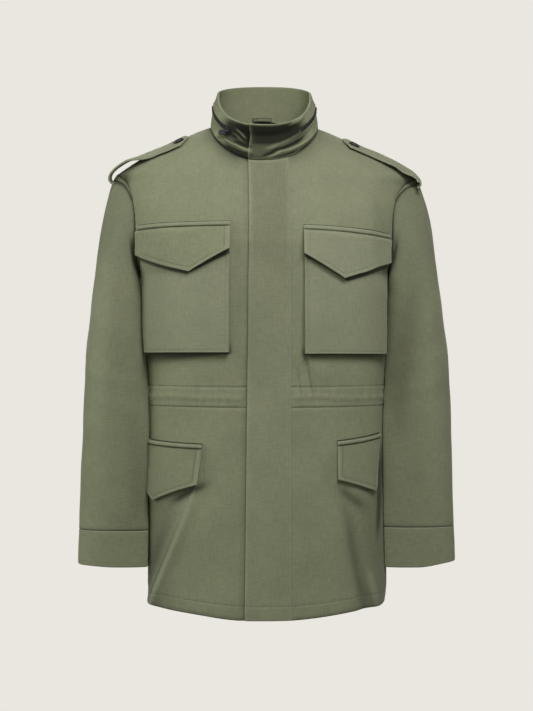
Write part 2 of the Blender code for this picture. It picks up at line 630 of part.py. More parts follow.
def collar_turns():
    """The collar's columns, from its lower lap's end round the wearer's right, the back and the left."""
    under = FLY_NECK[2::-1]  # the same columns as the lap over it
    right = [turn for turn in RIGHT_NECK if turn < under[-1] - 5]
    back = [-turn for turn in BACK_NECK[1:]] + [turn - 360 for turn in BACK_NECK[-2::-1]]
    left = [turn - 360 for turn in LEFT_NECK[-2::-1]] + [turn - 360 for turn in FLY_NECK[-2::-1]]
    return np.array([*under, *right, *back, *left])


def make_collar(twill):
    """An open band round the neck seam. Its left end laps over its right one."""
    turn = collar_turns()[None, :]
    up = np.array((0.0, 0.25, 0.5, 0.75, 1.0))[:, None]
    under = (COLLAR_WALL + SEAM_GAP) * soft_step(turn, -40.0, -15.0)
    outward = collar_out(turn, up) * (1, 1, 0)
    outward = outward / np.linalg.norm(outward, axis=-1, keepdims=True)
    outer = collar_line(turn, up) - outward * under[..., None]
    wall("collar", outer, outer - outward * COLLAR_WALL, twill)


def make_collar_zip(tape):
    """The zip of the hood pocket, from the wearer's right front round the back to the left front."""
    turn = np.linspace(ZIP_ENDS[0], ZIP_ENDS[1] - 360, 33)[None, :]
    lift = ZIP_WIDTH / COLLAR_HEIGHT[-1] / 2
    up = np.array((ZIP_HEIGHT - lift, ZIP_HEIGHT + lift))[:, None]
    place, outward = collar_line(turn, up), collar_out(turn, up)
    wall("collar_zip", place + outward * (ZIP_CLEAR + ZIP_WALL), place + outward * ZIP_CLEAR, tape)


def collar_frame(turn, up):
    """A place on the collar with its directions: along the neck, out, and up the collar."""
    turn = np.array([turn])
    place = settle(collar_line(turn, up))[0]
    out = collar_out(turn, up)[0]
    along = np.array((-out[1], out[0], 0.0))
    along = along / np.linalg.norm(along)
    return place, along, out, np.cross(out, along)


def placed(points, frame):
    """Local (along, out, up) points in the part's frame."""
    origin, along, out, rising = frame
    points = np.asarray(points, float)
    return origin + points[..., :1] * along + points[..., 1:2] * out + points[..., 2:] * rising


def slider_frame():
    """The slider's frame: its base lies on the collar, clear of the zip."""
    origin, along, out, rising = collar_frame(SLIDER_TURN, SLIDER_HEIGHT)
    return origin + out * (ZIP_CLEAR + ZIP_WALL + SEAM_GAP), along, out, rising


def box_points(low, high):
    """Corners of a box."""
    return [(x, y, z) for x in (low[0], high[0]) for y in (low[1], high[1]) for z in (low[2], high[2])]


BOX_FACES = ((0, 1, 3, 2), (4, 6, 7, 5), (0, 4, 5, 1), (2, 3, 7, 6), (0, 2, 6, 4), (1, 5, 7, 3))


def make_slider(metal):
    """The slider: a bevelled body with a bridge over it, under which the pull's bar turns."""
    long, wide, thick = SLIDER_SIZE
    frame = slider_frame()
    mesh_data = bmesh.new()
    corners = box_points((-long / 2, 0, -wide / 2), (long / 2, thick, wide / 2))
    verts = [mesh_data.verts.new(corner) for corner in corners]
    for face in BOX_FACES:
        mesh_data.faces.new([verts[k] for k in face])
    bmesh.ops.recalc_face_normals(mesh_data, faces=mesh_data.faces)
    bmesh.ops.bevel(
        mesh_data, geom=mesh_data.edges[:], offset=0.0009, segments=2, profile=0.5, affect="EDGES"
    )
    for vert in mesh_data.verts:
        vert.co = placed(vert.co, frame)
    body_part = add_object("zip_slider", mesh_data, metal)

    length, width, height = BRIDGE
    low, top = thick - 0.0006, thick + height
    outline = (
        (-length / 2, low), (-length / 2, top - 0.001), (-length / 2 + 0.001, top), (length / 2 - 0.001, top),
        (length / 2, top - 0.001), (length / 2, low), (length / 2 - BRIDGE_WALL, low),
        (length / 2 - BRIDGE_WALL, top - BRIDGE_WALL), (-length / 2 + BRIDGE_WALL, top - BRIDGE_WALL),
        (-length / 2 + BRIDGE_WALL, low),
    )  # fmt: skip
    mesh_data = bmesh.new()
    near = [mesh_data.verts.new(placed((a, o, -width / 2), frame)) for a, o in outline]
    far = [mesh_data.verts.new(placed((a, o, width / 2), frame)) for a, o in outline]
    mesh_data.faces.new(near)
    mesh_data.faces.new(far[::-1])
    for k in range(len(outline)):
        n = (k + 1) % len(outline)
        mesh_data.faces.new((near[k], far[k], far[n], near[n]))
    bridge = add_object("slider_bridge_tool", mesh_data, metal)
    bridge.hide_render = True
    bridge.display_type = "WIRE"
    union = body_part.modifiers.new("bridge", "BOOLEAN")
    union.operation = "UNION"
    union.object = bridge


def make_pull(metal):
    """The pull: a flat tab with a window, whose end bar lies under the bridge. Its origin is on the hinge."""
    frame = slider_frame()
    long, wide, thick = PULL_SIZE
    eye_long, eye_wide = PULL_EYE
    lift = SLIDER_SIZE[2] + thick / 2 + PULL_LIFT
    bar, round_off = PULL_BAR, PULL_CORNER
    outline = (
        (bar / 2, -wide / 2), (bar / 2, wide / 2), (-long / 2, wide / 2),
        (-long + round_off, wide / 2), (-long, wide / 2 - round_off),
        (-long, -wide / 2 + round_off), (-long + round_off, -wide / 2), (-long / 2, -wide / 2),
    )  # fmt: skip
    left, right = -bar / 2 - eye_long, -bar / 2
    window = (
        (right, -eye_wide / 2), (right, eye_wide / 2), ((left + right) / 2, eye_wide / 2),
        (left, eye_wide / 2), (left, eye_wide / 4),
        (left, -eye_wide / 4), (left, -eye_wide / 2), ((left + right) / 2, -eye_wide / 2),
    )  # fmt: skip
    hinge = placed((0, lift, 0), frame)
    c, s = math.cos(math.radians(PULL_TILT)), math.sin(math.radians(PULL_TILT))
    mesh_data = bmesh.new()
    rings = []
    for o in (-thick / 2, thick / 2):
        for ring in (outline, window):
            places = [placed((a * c - o * s, lift + a * s + o * c, r), frame) - hinge for a, r in ring]
            rings.append([mesh_data.verts.new(place) for place in places])
    low_out, low_in, high_out, high_in = rings
    for a, b in ((low_out, low_in), (high_in, high_out), (high_out, low_out), (low_in, high_in)):
        for k in range(len(outline)):
            n = (k + 1) % len(outline)
            mesh_data.faces.new((a[k], a[n], b[n], b[k]))
    pull = add_object("zip_pull", mesh_data, metal)
    pull.location = hinge


def make_hanger_loop(twill):
    """A strip at the back neck seam, its ends against the collar's inner face and its middle standing off."""
    share = np.linspace(0, 1, 9)
    x = LOOP_SPAN[0] + (LOOP_SPAN[1] - LOOP_SPAN[0]) * share
    stand = LOOP_STAND * 4 * share * (1 - share)
    seam_y = SHOULDER_SEAM_BACK + NECK_DEPTH[1] * (
        1 - ((np.abs(x) + 0.009) / NECK_HALF) ** NECK_POWER
    ) ** (1 / NECK_POWER)
    y = seam_y - COLLAR_WALL - 0.0012 - stand
    grids = []
    for depth in (0.0, LOOP_WALL):
        grids.append(np.stack([np.stack((x, y - depth, np.full_like(x, z)), axis=-1) for z in LOOP_LEVELS]))
    wall("hanger_loop", grids[0], grids[1], twill)


# ------------------------------------------------------------------ pockets and flaps
def turn_of(x, z):
    """Angle round the body's section at a distance x from the middle."""
    part = np.clip(section_share(z, -1) * x / smooth(BODY, "half_width", z), 0, 1)
    return np.arcsin(part ** (SECTION_POWER / 2))


def x_of(turn, z):
    """The distance from the middle at that angle."""
    return smooth(BODY, "half_width", z) / section_share(z, -1) * np.sin(turn) ** (2 / SECTION_POWER)


def across_front(inner, outer, share, z):
    """x between two distances from the middle, in even steps round the body."""
    return x_of(turn_of(inner, z) * (1 - share) + turn_of(outer, z) * share, z)


def bag_depth(pocket, z, share):
    """How far the bag's outer face stands out at a level."""
    top = pocket.top_inner + (pocket.top_outer - pocket.top_inner) * share
    down = np.clip((top - z) / (top - pocket.bottom), 0, 1)
    return POCKET_DEPTH[0] + (POCKET_DEPTH[1] - POCKET_DEPTH[0]) * soft_step(down, 0.0, 1.0)


def bag_grid(pocket, inset, thinner):
    """A bag's face with its side and bottom walls, which turn down to the panel. inset narrows it."""
    side = -1 if pocket.side == "right" else 1
    width = pocket.outer - pocket.inner
    edge = inset / width
    columns = np.array((edge, edge, 0.1, 0.25, 0.42, 0.6, 0.76, 0.9, 1 - edge, 1 - edge))[None, :]
    foot_column = np.array([1, 0, 0, 0, 0, 0, 0, 0, 0, 1])[None, :]
    bottom = pocket.bottom + inset
    rows = np.array((0.0, 0.09, 0.19, 0.4, 0.62, 0.84, 1.0, 1.0))[:, None]
    foot_row = np.array([0, 0, 0, 0, 0, 0, 0, 1])[:, None]
    top = pocket.top_inner + (pocket.top_outer - pocket.top_inner) * columns - BAG_BELOW_RIDGE
    z = top + (bottom - top) * rows
    outer = pocket.outer + (pocket.outer_low - pocket.outer) * rows
    x = side * across_front(pocket.inner, outer, columns, z)
    depth = bag_depth(pocket, z, columns) - thinner
    depth = np.where((foot_column + foot_row) > 0, LAY_GAP, depth)
    return body(x, z, -1, depth)


def make_chest_pockets(twill):
    """Bellows bags: a face, standing further out towards the bottom, and walls turned to the panel."""
    for pocket in CHEST_POCKETS:
        outer = bag_grid(pocket, 0.0, 0.0)
        wall(f"chest_pocket_{pocket.side}", outer, bag_grid(pocket, CLOTH, CLOTH), twill)


def make_flaps(twill):
    """Pointed flaps of two plies with a folded band along the top. The chest flaps lie on their bags."""
    bags = {pocket.side: pocket for pocket in CHEST_POCKETS}
    for flap in FLAPS:
        side = -1 if flap.side == "right" else 1
        share = np.unique(np.append(np.linspace(0, 1, 9), flap.tip))[None, :]
        top = flap.top_inner + (flap.top_outer - flap.top_inner) * share
        drop = np.interp(share, (0, flap.tip, 1), (flap.drop_inner, flap.drop_tip, flap.drop_outer))
        band = (0.0, 0.0016, RIDGE_WIDTH - 0.0012, RIDGE_WIDTH + 0.001)
        fallen = [np.full_like(share, d) for d in band]
        rest = [RIDGE_WIDTH + 0.005 + (drop - RIDGE_WIDTH - 0.005) * s for s in (0.0, 0.3, 0.65, 1.0)]
        fallen = np.concatenate(fallen + rest)
        z = top - fallen
        x = side * across_front(flap.inner, flap.outer, share, z)
        under = np.full_like(z, BAND_GAP)
        if flap.name == "chest":
            under[len(band) :] = bag_depth(bags[flap.side], z[len(band) :], share) + FLAP_LIFT
        else:
            under[len(band) :] = FLAP_LIFT
        over = under + DOUBLE
        over[0] = SEAM_GAP + 0.0026
        over[1:3] = RIDGE_HEIGHT
        over[3] = SEAM_GAP + 0.0042
        wall(f"{flap.name}_flap_{flap.side}", body(x, z, -1, over), body(x, z, -1, under), twill)


# ------------------------------------------------------------------ shoulder straps
def strap_drop(across, y):
    """How far the strap falls away from the shoulder's crest at y."""
    kept = 1 - STRAP_STIFF * soft_step(across, *STRAP_FLAT)
    across = np.minimum(across, STRAP_BEND_LIMIT)
    drops = []
    for face in (-1, 1):
        depth = full_depth(across, np.full_like(across, -0.05), face)
        part = np.clip(np.abs(y - SHOULDER_SEAM_BACK) / depth, 0, 1)
        drops.append(crest(across, face) - below_crest(across, part, face))
    return np.where(y < SHOULDER_SEAM_BACK, drops[0], drops[1]) * kept


def strap_middle():
    """(across, level) of the strap's underside along its length, from its tip to its root."""
    on = np.array(STRAP_ON)
    lying = np.stack((on, crest(on, -1) + SEAM_GAP + 0.0007), axis=-1)
    lift = soft_step(on, STRAP_ON[-3], STRAP_ON[-1] + 0.02)
    lying[:, 1] += 0.004 * lift
    return np.concatenate((lying, np.array(STRAP_OFF) - (0, DOUBLE / 2)))


def make_epaulette(side, name, twill):
    """A strap of two plies from the gusset over the shoulder towards the collar, with a blunt point."""
    line = strap_middle()
    share = np.array((-1.0, -0.6, 0.0, 0.6, 1.0))[:, None]
    y = STRAP_MIDDLE + STRAP_HALF_WIDTH * share
    across = line[:, 0] + STRAP_TIP * np.abs(share) * (line[:, 0] == line[0, 0])
    level = np.interp(across, line[:, 0], line[:, 1]) * (line[:, 0] == line[0, 0])
    level = np.where(line[:, 0] == line[0, 0], level, line[:, 1])
    under = np.stack((across, np.broadcast_to(y, across.shape), level - strap_drop(across, y)), axis=-1)
    slope = np.gradient(line, axis=0)
    up = np.stack((-slope[:, 1], 0 * slope[:, 0], slope[:, 0]), axis=-1)
    up = up / np.linalg.norm(up, axis=-1, keepdims=True)
    over = under + DOUBLE * up[None, :, :]
    mirror = np.array((side, 1, 1))
    wall(f"epaulette_{name}", over * mirror, under * mirror, twill)


def make_button(side, name, horn):
    """A flat button with a rounded rim, on the strap near its tip."""
    middle = np.array([BUTTON_ACROSS]), np.array([STRAP_MIDDLE])

    def top(across, y):
        line = strap_middle()
        level = np.interp(across, line[:, 0], line[:, 1]) + DOUBLE
        return np.array((across[0], y[0], (level - strap_drop(across, y))[0]))

    here = top(*middle)
    run = top(middle[0] + 0.004, middle[1]) - top(middle[0] - 0.004, middle[1])
    fall = top(middle[0], middle[1] + 0.004) - top(middle[0], middle[1] - 0.004)
    out = np.cross(run, fall)
    out = out / np.linalg.norm(out)
    run = run / np.linalg.norm(run)
    here = here + out * (2 * SEAM_GAP)
    corner = 0.0010
    profile = (
        (BUTTON_RADIUS - corner, 0.0), (BUTTON_RADIUS, corner), (BUTTON_RADIUS, BUTTON_HEIGHT - corner),
        (BUTTON_RADIUS - corner, BUTTON_HEIGHT), (BUTTON_RADIUS * 0.62, BUTTON_HEIGHT - 0.0006),
    )  # fmt: skip
    turns = np.arange(16) / 16 * 2 * math.pi
    mesh_data = bmesh.new()
    rings = []
    for radius, height in profile:
        ring = []
        for turn in turns:
            spoke = math.cos(turn) * run + math.sin(turn) * np.cross(out, run)
            place = here + radius * spoke + height * out
            ring.append(mesh_data.verts.new(settle(place * (side, 1, 1))))
        rings.append(ring)
    mesh_data.faces.new(rings[0])
    mesh_data.faces.new(rings[-1][::-1])
    for low, high in zip(rings, rings[1:]):
        for k in range(len(turns)):
            n = (k + 1) % len(turns)
            mesh_data.faces.new((low[k], low[n], high[n], high[k]))
    add_object(f"epaulette_button_{name}", mesh_data, horn)


# ------------------------------------------------------------------ the jacket
for old in list(bpy.data.objects):
    bpy.data.objects.remove(old, do_unlink=True)

TWILL = material("cotton_twill", (0.165, 0.182, 0.122), 0.85)
TAPE = material("zip_tape", (0.035, 0.036, 0.040), 0.70)
METAL = material("blackened_metal", (0.020, 0.020, 0.022), 0.38, 0.8)
HORN = material("moulded_button", (0.020, 0.021, 0.019), 0.35)

make_fronts(TWILL)
make_back(TWILL)
make_sleeve(-1, "right", TWILL)
make_sleeve(1, "left", TWILL)
make_collar(TWILL)
make_collar_zip(TAPE)
make_slider(METAL)
make_pull(METAL)
make_hanger_loop(TWILL)
make_chest_pockets(TWILL)
make_flaps(TWILL)
for SIDE, NAME in ((-1, "right"), (1, "left")):
    make_epaulette(SIDE, NAME, TWILL)
    make_button(SIDE, NAME, HORN)
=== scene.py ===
"""A field jacket of cotton and nylon twill, filled out as when worn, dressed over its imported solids.

Metres, +Z up, the front faces -Y and the wearer's left is +X. Each cloth piece is a thin closed shell between
a grid of points and the same points moved in, on the form that its solid has, with its creases and sewing.
"""

import math
from collections import namedtuple

import bpy
import numpy as np
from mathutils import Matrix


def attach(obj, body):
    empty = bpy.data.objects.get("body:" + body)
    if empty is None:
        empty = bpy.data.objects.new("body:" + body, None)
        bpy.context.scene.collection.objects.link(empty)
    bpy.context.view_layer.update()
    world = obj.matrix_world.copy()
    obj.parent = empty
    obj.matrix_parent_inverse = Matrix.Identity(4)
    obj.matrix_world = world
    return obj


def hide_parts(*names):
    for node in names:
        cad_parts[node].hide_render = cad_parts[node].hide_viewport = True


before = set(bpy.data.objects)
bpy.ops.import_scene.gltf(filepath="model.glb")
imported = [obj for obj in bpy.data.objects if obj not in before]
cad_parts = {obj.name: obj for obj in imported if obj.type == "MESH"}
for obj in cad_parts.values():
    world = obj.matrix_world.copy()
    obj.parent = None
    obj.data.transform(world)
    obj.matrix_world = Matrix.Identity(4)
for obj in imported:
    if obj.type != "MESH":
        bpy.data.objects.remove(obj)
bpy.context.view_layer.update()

# ---------------------------------------------------------------- the fronts
# Two panels of heavy twill, each cut in one from hem to shoulder and neck, sewn to the back at the sides and
# shoulders. The hem is turned up twice and stitched, and a strip stitched behind the waist holds a drawcord.

SEAM_GAP = 0.0003
SECTION_POWER = 2.8  # of the body's superellipse section
CREST_POWER = {-1: 1.5, 1: 2.4}  # of the curve that rounds front (-1) and back (1) over the shoulders
CREST_POWER_END = 1.6
SHOULDER_HALF = 0.237  # middle to armhole seam at the shoulder's end
SHOULDER_SEAM_BACK = 0.005
SHOULDER_END = -0.074
ARMHOLE_MID = -0.171
UNDERARM = -0.240
ARMHOLE_HALF = {-1: 0.075, 1: 0.080}


def rows_of(columns, *rows):
    """A table's rows, with their columns by name."""
    kind = namedtuple("Row", columns)
    return [kind(*row) for row in rows]


BODY = rows_of(
    "level half_width front back",
    (-0.790, 0.185, 0.150, 0.140),
    (-0.757, 0.187, 0.150, 0.139),
    (-0.725, 0.190, 0.149, 0.137),
    (-0.600, 0.189, 0.147, 0.132),
    (-0.436, 0.1885, 0.145, 0.126),
    (-0.360, 0.193, 0.147, 0.128),
    (-0.308, 0.196, 0.149, 0.131),
    (-0.240, 0.203, 0.150, 0.133),
    (-0.206, 0.2085, 0.150, 0.133),
    (-0.151, 0.2100, 0.150, 0.133),
    (-0.121, 0.2145, 0.150, 0.133),
    (-0.093, 0.2225, 0.150, 0.133),
    (SHOULDER_END, SHOULDER_HALF, 0.150, 0.133),
    (0.080, SHOULDER_HALF, 0.150, 0.133),
)
NECK_HALF = 0.086
NECK_DEPTH = {-1: 0.093, 1: 0.067}
NECK_POWER = 2.35
NECK_LEAN = 0.0035  # the collar hangs this much towards the wearer's right
LEFT_LOWER = 0.0058  # and the left shoulder this much lower
CREST = rows_of(
    "across front back",
    (0.000, 0.0130, 0.0390),
    (0.030, 0.0105, 0.0305),
    (0.050, 0.0078, 0.0190),
    (0.066, 0.0050, 0.0100),
    (0.078, 0.0022, 0.0033),
    (NECK_HALF, 0.0000, 0.0000),
    (0.100, -0.0045, -0.0045),
    (0.129, -0.0165, -0.0165),
    (0.152, -0.0275, -0.0275),
    (0.175, -0.0372, -0.0372),
    (0.206, -0.0535, -0.0535),
    (0.230, -0.0690, -0.0690),
    (SHOULDER_HALF, SHOULDER_END, SHOULDER_END),
)
CREST_FOOT = {-1: -0.195, 1: -0.170}
HEM_SIDE = -0.752
HEM_DIP = {-1: 0.014, 1: 0.009}
HEM_TURN = 0.020  # the hem's stitches lie this far above its edge
WAIST = (-0.4425, -0.4115)  # the drawcord tunnel's stitch lines
CORD_LEVEL = -0.4290
FLY_EDGE = (-0.0255, -0.0330)
FLY_TURNS = (-13.9, 21.3)  # degrees round the neck from the front at the fly's edge and root
FLY_WALL = 0.003
LAP_DEPTH = FLY_WALL + SEAM_GAP
LAP_CLEAR = 0.0027
CLOTH = 0.002  # wall of one ply with its turned seams
TUNNEL_RISE = 0.0009
CORD_RISE = 0.0017
GATHER_RISE = 0.00085
UNEVEN = 0.00045
SLOPE_STEP = 0.0001  # between the points whose difference gives a slope

FOLD = "x_top z_top x_low z_low spread rise"
FOLDS = {  # soft ridges and troughs, each along a line; front and back
    -1: rows_of(
        FOLD,
        (-0.106, -0.570, -0.179, -0.745, 0.015, 0.0066),
        (-0.146, -0.585, -0.190, -0.740, 0.030, -0.0035),
        (-0.070, -0.600, -0.095, -0.770, 0.034, -0.0030),
        (0.117, -0.575, 0.152, -0.745, 0.017, -0.0055),
        (0.148, -0.660, 0.170, -0.750, 0.012, 0.0030),
        (0.045, -0.350, 0.080, -0.395, 0.018, 0.0028),
        (0.057, -0.355, 0.069, -0.412, 0.0065, -0.0026),
    ),
    1: rows_of(
        FOLD,
        (-0.095, -0.470, -0.130, -0.757, 0.036, 0.005),
        (0.088, -0.480, 0.118, -0.757, 0.034, 0.005),
        (-0.110, -0.200, -0.060, -0.395, 0.034, -0.003),
        (0.118, -0.190, 0.066, -0.395, 0.034, -0.003),
        (0.010, -0.330, -0.012, -0.405, 0.020, 0.0025),
    ),
}


def smooth(table, column, at):
    """A table's column at any place of its first one: a cubic through the rows that never overshoots them."""
    x = np.array([row[0] for row in table])
    y = np.array([getattr(row, column) for row in table])
    step = np.diff(x)
    slope = np.diff(y) / step
    product, total = slope[:-1] * slope[1:], slope[:-1] + slope[1:]
    tangent = np.zeros_like(y)
    tangent[1:-1] = np.where(product > 0, 2 * product / np.where(product > 0, total, 1), 0)
    tangent[0], tangent[-1] = slope[0], slope[-1]
    k = np.clip(np.searchsorted(x, at) - 1, 0, len(step) - 1)
    t = np.clip((at - x[k]) / step[k], 0, 1)
    rise = y[k] + (y[k + 1] - y[k]) * (3 * t**2 - 2 * t**3)
    return rise + step[k] * (tangent[k] * (t - 2 * t**2 + t**3) + tangent[k + 1] * (t**3 - t**2))


def soft_step(value, low, high):
    """0 below low, 1 above high, and 3 t^2 - 2 t^3 between them."""
    t = np.clip((value - low) / (high - low), 0, 1)
    return t * t * (3 - 2 * t)


def soft_fall(value, low, high):
    """1 below low and 0 above high."""
    return 1 - soft_step(value, low, high)


def bell(value, width):
    """e^-(value / width)^2."""
    return np.exp(-((value / width) ** 2))


def mix(low, high, share):
    """low + (high - low) share."""
    return low + (high - low) * share


def unit(vectors):
    """Vectors brought to a length of 1."""
    return vectors / np.maximum(np.linalg.norm(vectors, axis=-1, keepdims=True), 1e-12)


def nearest(places, at):
    """Index of the place nearest to at."""
    return int(np.argmin(np.abs(places - at)))


def side_of(face):
    """The BODY and CREST column of a face: -1 front, 1 back."""
    return "front" if face < 0 else "back"


def section_share(z, face):
    """Share of the full superellipse at the armhole seam: 1 at the side seam, less where a sleeve leaves."""
    below = np.clip((ARMHOLE_MID - z) / (ARMHOLE_MID - UNDERARM), 0, 1)
    depth = ARMHOLE_HALF[face] * np.sqrt(1 - below**2) / smooth(BODY, side_of(face), z)
    return (1 - depth**SECTION_POWER) ** (1 / SECTION_POWER)


def full_depth(x, z, face):
    """Depth at x before the shoulder rounds it off: depth (1 - (share |x| / half width)^p)^(1/p)."""
    part = np.clip(section_share(z, face) * np.abs(x) / smooth(BODY, "half_width", z), 0, 1)
    return smooth(BODY, side_of(face), z) * (1 - part**SECTION_POWER) ** (1 / SECTION_POWER)


def crest(across, face):
    """Height of the shoulder crest at a distance from the middle."""
    return smooth(CREST, side_of(face), np.abs(across))


def crest_drop(across, face):
    """Height over which the body rounds off below the crest."""
    share = soft_step(np.abs(across), 0.04, SHOULDER_HALF)
    return crest(across, face) - mix(CREST_FOOT[face], ARMHOLE_MID, share)


def crest_power(across, face):
    """Power of the curve that rounds the body off below the crest."""
    return mix(CREST_POWER[face], CREST_POWER_END, soft_step(np.abs(across), 0.04, SHOULDER_HALF))


def below_crest(across, part, face):
    """The level where the body has a part of its full depth: crest - drop (1 - (1 - part^p)^(1/p))."""
    power = crest_power(across, face)
    return crest(across, face) - crest_drop(across, face) * (1 - (1 - part**power) ** (1 / power))


def seam_plane(z):
    """y of the plane of the side seams, which leans back to the shoulder seams."""
    return SHOULDER_SEAM_BACK * soft_step(z, UNDERARM, SHOULDER_END)


def below_shoulder(x, z, face):
    """Share h of the way from the crest to its foot at which a point lies, and the power p of that curve."""
    across = np.abs(x) / smooth(BODY, "half_width", z) * SHOULDER_HALF
    return np.clip((crest(across, face) - z) / crest_drop(across, face), 0, 1), crest_power(across, face)


def body_y(x, z, face):
    """y of the body: the section's depth times (1 - (1 - h)^p)^(1/p)."""
    h, power = below_shoulder(x, z, face)
    return seam_plane(z) + face * full_depth(x, z, face) * (1 - (1 - h) ** power) ** (1 / power)


def body_normal(x, y, z, face):
    """The surface's outward direction, from the slopes of |y|^p - depth^p (1 - (1 - h)^p)."""

    def equation(x, y, z):
        """0 on the surface and more than 0 outside it."""
        h, power = below_shoulder(x, z, face)
        full = smooth(BODY, side_of(face), z)
        here, depth = np.abs(y - seam_plane(z)) / full, full_depth(x, z, face) / full
        return here**power - depth**power * (1 - (1 - h) ** power)

    steps = np.eye(3) * SLOPE_STEP
    slopes = [equation(x + a, y + b, z + c) - equation(x - a, y - b, z - c) for a, b, c in steps]
    return unit(np.stack(slopes, axis=-1))


def ridge(fold, x, z, ends=(-0.1, 0.5, 0.9, 1.5)):
    """A fold's rise: bell-shaped across its line, growing and fading between shares of the line's length."""
    dx, dz = fold.x_low - fold.x_top, fold.z_low - fold.z_top
    along = ((x - fold.x_top) * dx + (z - fold.z_top) * dz) / (dx * dx + dz * dz)
    gone = np.hypot(x - fold.x_top - along * dx, z - fold.z_top - along * dz) / fold.spread
    return fold.rise * soft_step(along, *ends[:2]) * soft_fall(along, *ends[2:]) * np.exp(-2 * gone**2)


def relief(x, z, face):
    """How far the surface is raised: a soft-edged band for the tunnel, a thin ridge and short waves for its
    cord, a ridge for each fold, and three long crossing waves for the cloth's unevenness."""
    low, high = WAIST
    band = soft_step(z, low - 0.002, low + 0.002) * soft_fall(z, high - 0.002, high + 0.002)
    beside_fly = soft_step(np.abs(x - 0.002), 0.034, 0.046)
    wander = CORD_LEVEL + 0.0012 * np.sin(x * 31) + 0.0006 * np.sin(x * 83 + 1)
    gathers = np.sin(x * 430 + 2 * np.sin(x * 71)) * np.exp(-np.abs(z + 0.427) / 0.014)
    rise = beside_fly * (TUNNEL_RISE * band + CORD_RISE * bell(z - wander, 0.0030) + GATHER_RISE * gathers)
    waves = np.sin(x * 47 + z * 21 + 0.7) + 0.8 * np.sin(x * 29 - z * 53 + 2.1)
    waves = waves + 0.5 * np.sin(x * 97 + z * 11)
    return rise + sum(ridge(fold, x, z) for fold in FOLDS[face]) + UNEVEN * waves


def body(x, z, face, out=0.0):
    """A point of the body at (x, z), moved out along the surface's normal."""
    x, z = np.broadcast_arrays(np.asarray(x, float), np.asarray(z, float))
    y = body_y(x, z, face)
    raised = (relief(x, z, face) * soft_step(np.abs(y), 0.0, 0.04) + out)[..., None]
    return np.stack((x, y + face * SEAM_GAP / 2, z), axis=-1) + body_normal(x, y, z, face) * raised


def superellipse(turn, power):
    """(across, ahead) of a unit superellipse: sine and cosine of the turn, with their sizes to the 2 / p."""
    return [np.sign(way) * np.abs(way) ** (2 / power) for way in (np.sin(turn), np.cos(turn))]


def neck_round(turn):
    """(across, ahead) of the neck's section, turn degrees round from the front."""
    return superellipse(np.radians(turn), NECK_POWER)


def neck_level(turn, face):
    """z of the neck seam, turn degrees round from the front: where the body has the neck's depth."""
    across, ahead = neck_round(turn)
    x = NECK_HALF * across
    part = np.clip(NECK_DEPTH[face] * np.abs(ahead) / full_depth(x, np.zeros_like(x), face), 0, 1)
    return below_crest(x, part, face)


def graded(low, high, step, lines=(), fine=0.0008):
    """Places from low to high in even steps, with close ones at both ends and on both sides of each line."""
    even = np.linspace(low, high, max(3, round((high - low) / step) + 1))
    close = [low + fine * np.array((1, 2.4)), high - fine * np.array((1, 2.4))]
    close += [line + fine * np.array((-2.4, -1, 0, 1, 2.4)) for line in lines]
    close = np.concatenate(close)
    clear = np.abs(even[:, None] - close).min(axis=1) > 0.4 * step
    clear[[0, -1]] = True
    return np.sort(np.concatenate((even[clear], close)))


LOWER_LEVELS = graded(HEM_SIDE, ARMHOLE_MID, 0.0032, (HEM_SIDE + HEM_TURN, *WAIST))
CREST_SHARES = graded(0.0, 1.0, 1 / 56, fine=0.0045)[3:]


def panel_levels(top_across, face, turns):
    """Levels of a panel's grid. Below the armhole's deepest level the rows are level and bend to the hem's
    dip; above it they divide the crest's curve into even angles up to the neck or shoulder seam."""
    across = np.abs(top_across)
    high, deep, power = crest(across, face), crest_drop(across, face), crest_power(across, face)
    row = (LOWER_LEVELS[:, None] - HEM_SIDE) / (ARMHOLE_MID - HEM_SIDE)
    dip = HEM_DIP[face] * np.cos(np.clip(across / SHOULDER_HALF, 0, 1) * math.pi / 2) ** 2
    lower = LOWER_LEVELS[:, None] - dip * (1 - row) ** 3 + (high - deep - ARMHOLE_MID) * row**6
    top = np.where(across < NECK_HALF, neck_level(turns, face), high)
    first = np.arccos((1 - np.clip((high - top) / deep, 0, 1)) ** (power / 2))
    turn = mix(math.pi / 2, first, CREST_SHARES[:, None])
    return np.concatenate((lower, high - deep * (1 - np.clip(np.cos(turn), 0, 1) ** (2 / power))))


def even_half(z, share):
    """Half width that a panel's columns keep to: the body's own at the side, and inside it, above the
    underarm, one that widens evenly to the shoulder, so that no column bends at the armhole's curve."""
    half = smooth(BODY, "half_width", z)
    even = mix(smooth(BODY, "half_width", UNDERARM), SHOULDER_HALF, soft_step(z, UNDERARM, -0.010))
    return half + (even - half) * (z > UNDERARM) * (1 - np.abs(share) ** 4)


def panel_grid(face, turns, side, edge=None):
    """(x, z) of a panel's grid: columns under the neck seam at the given turns, and on to the side seam and
    armhole. edge(z) is a line that the first full column keeps to, and columns beyond it keep step."""
    shoulder = side * graded(NECK_HALF + 0.0012, SHOULDER_HALF, 0.0032)
    top = np.concatenate((NECK_HALF * neck_round(turns)[0], shoulder))
    turns = np.concatenate((turns, np.full(len(shoulder), 90.0)))
    z = panel_levels(top, face, turns)
    if edge is None:
        share = (top - top[0]) / (side * SHOULDER_HALF - top[0])
        return top[0] + (side * even_half(z, share) - top[0]) * share, z
    start, start_top = edge(z), edge(z[-1, np.argmin(np.abs(top - edge(-0.0614)))])
    share = (top - start_top) / (side * SHOULDER_HALF - start_top)
    full = start + (side * even_half(z, np.maximum(share, 0)) - start) * share
    return np.where(share < 0, start + (top - start_top), full), z


def fly_edge(z):
    """x of the storm fly's free edge."""
    return np.interp(z, (HEM_SIDE, -0.061), (FLY_EDGE[1], FLY_EDGE[0]))


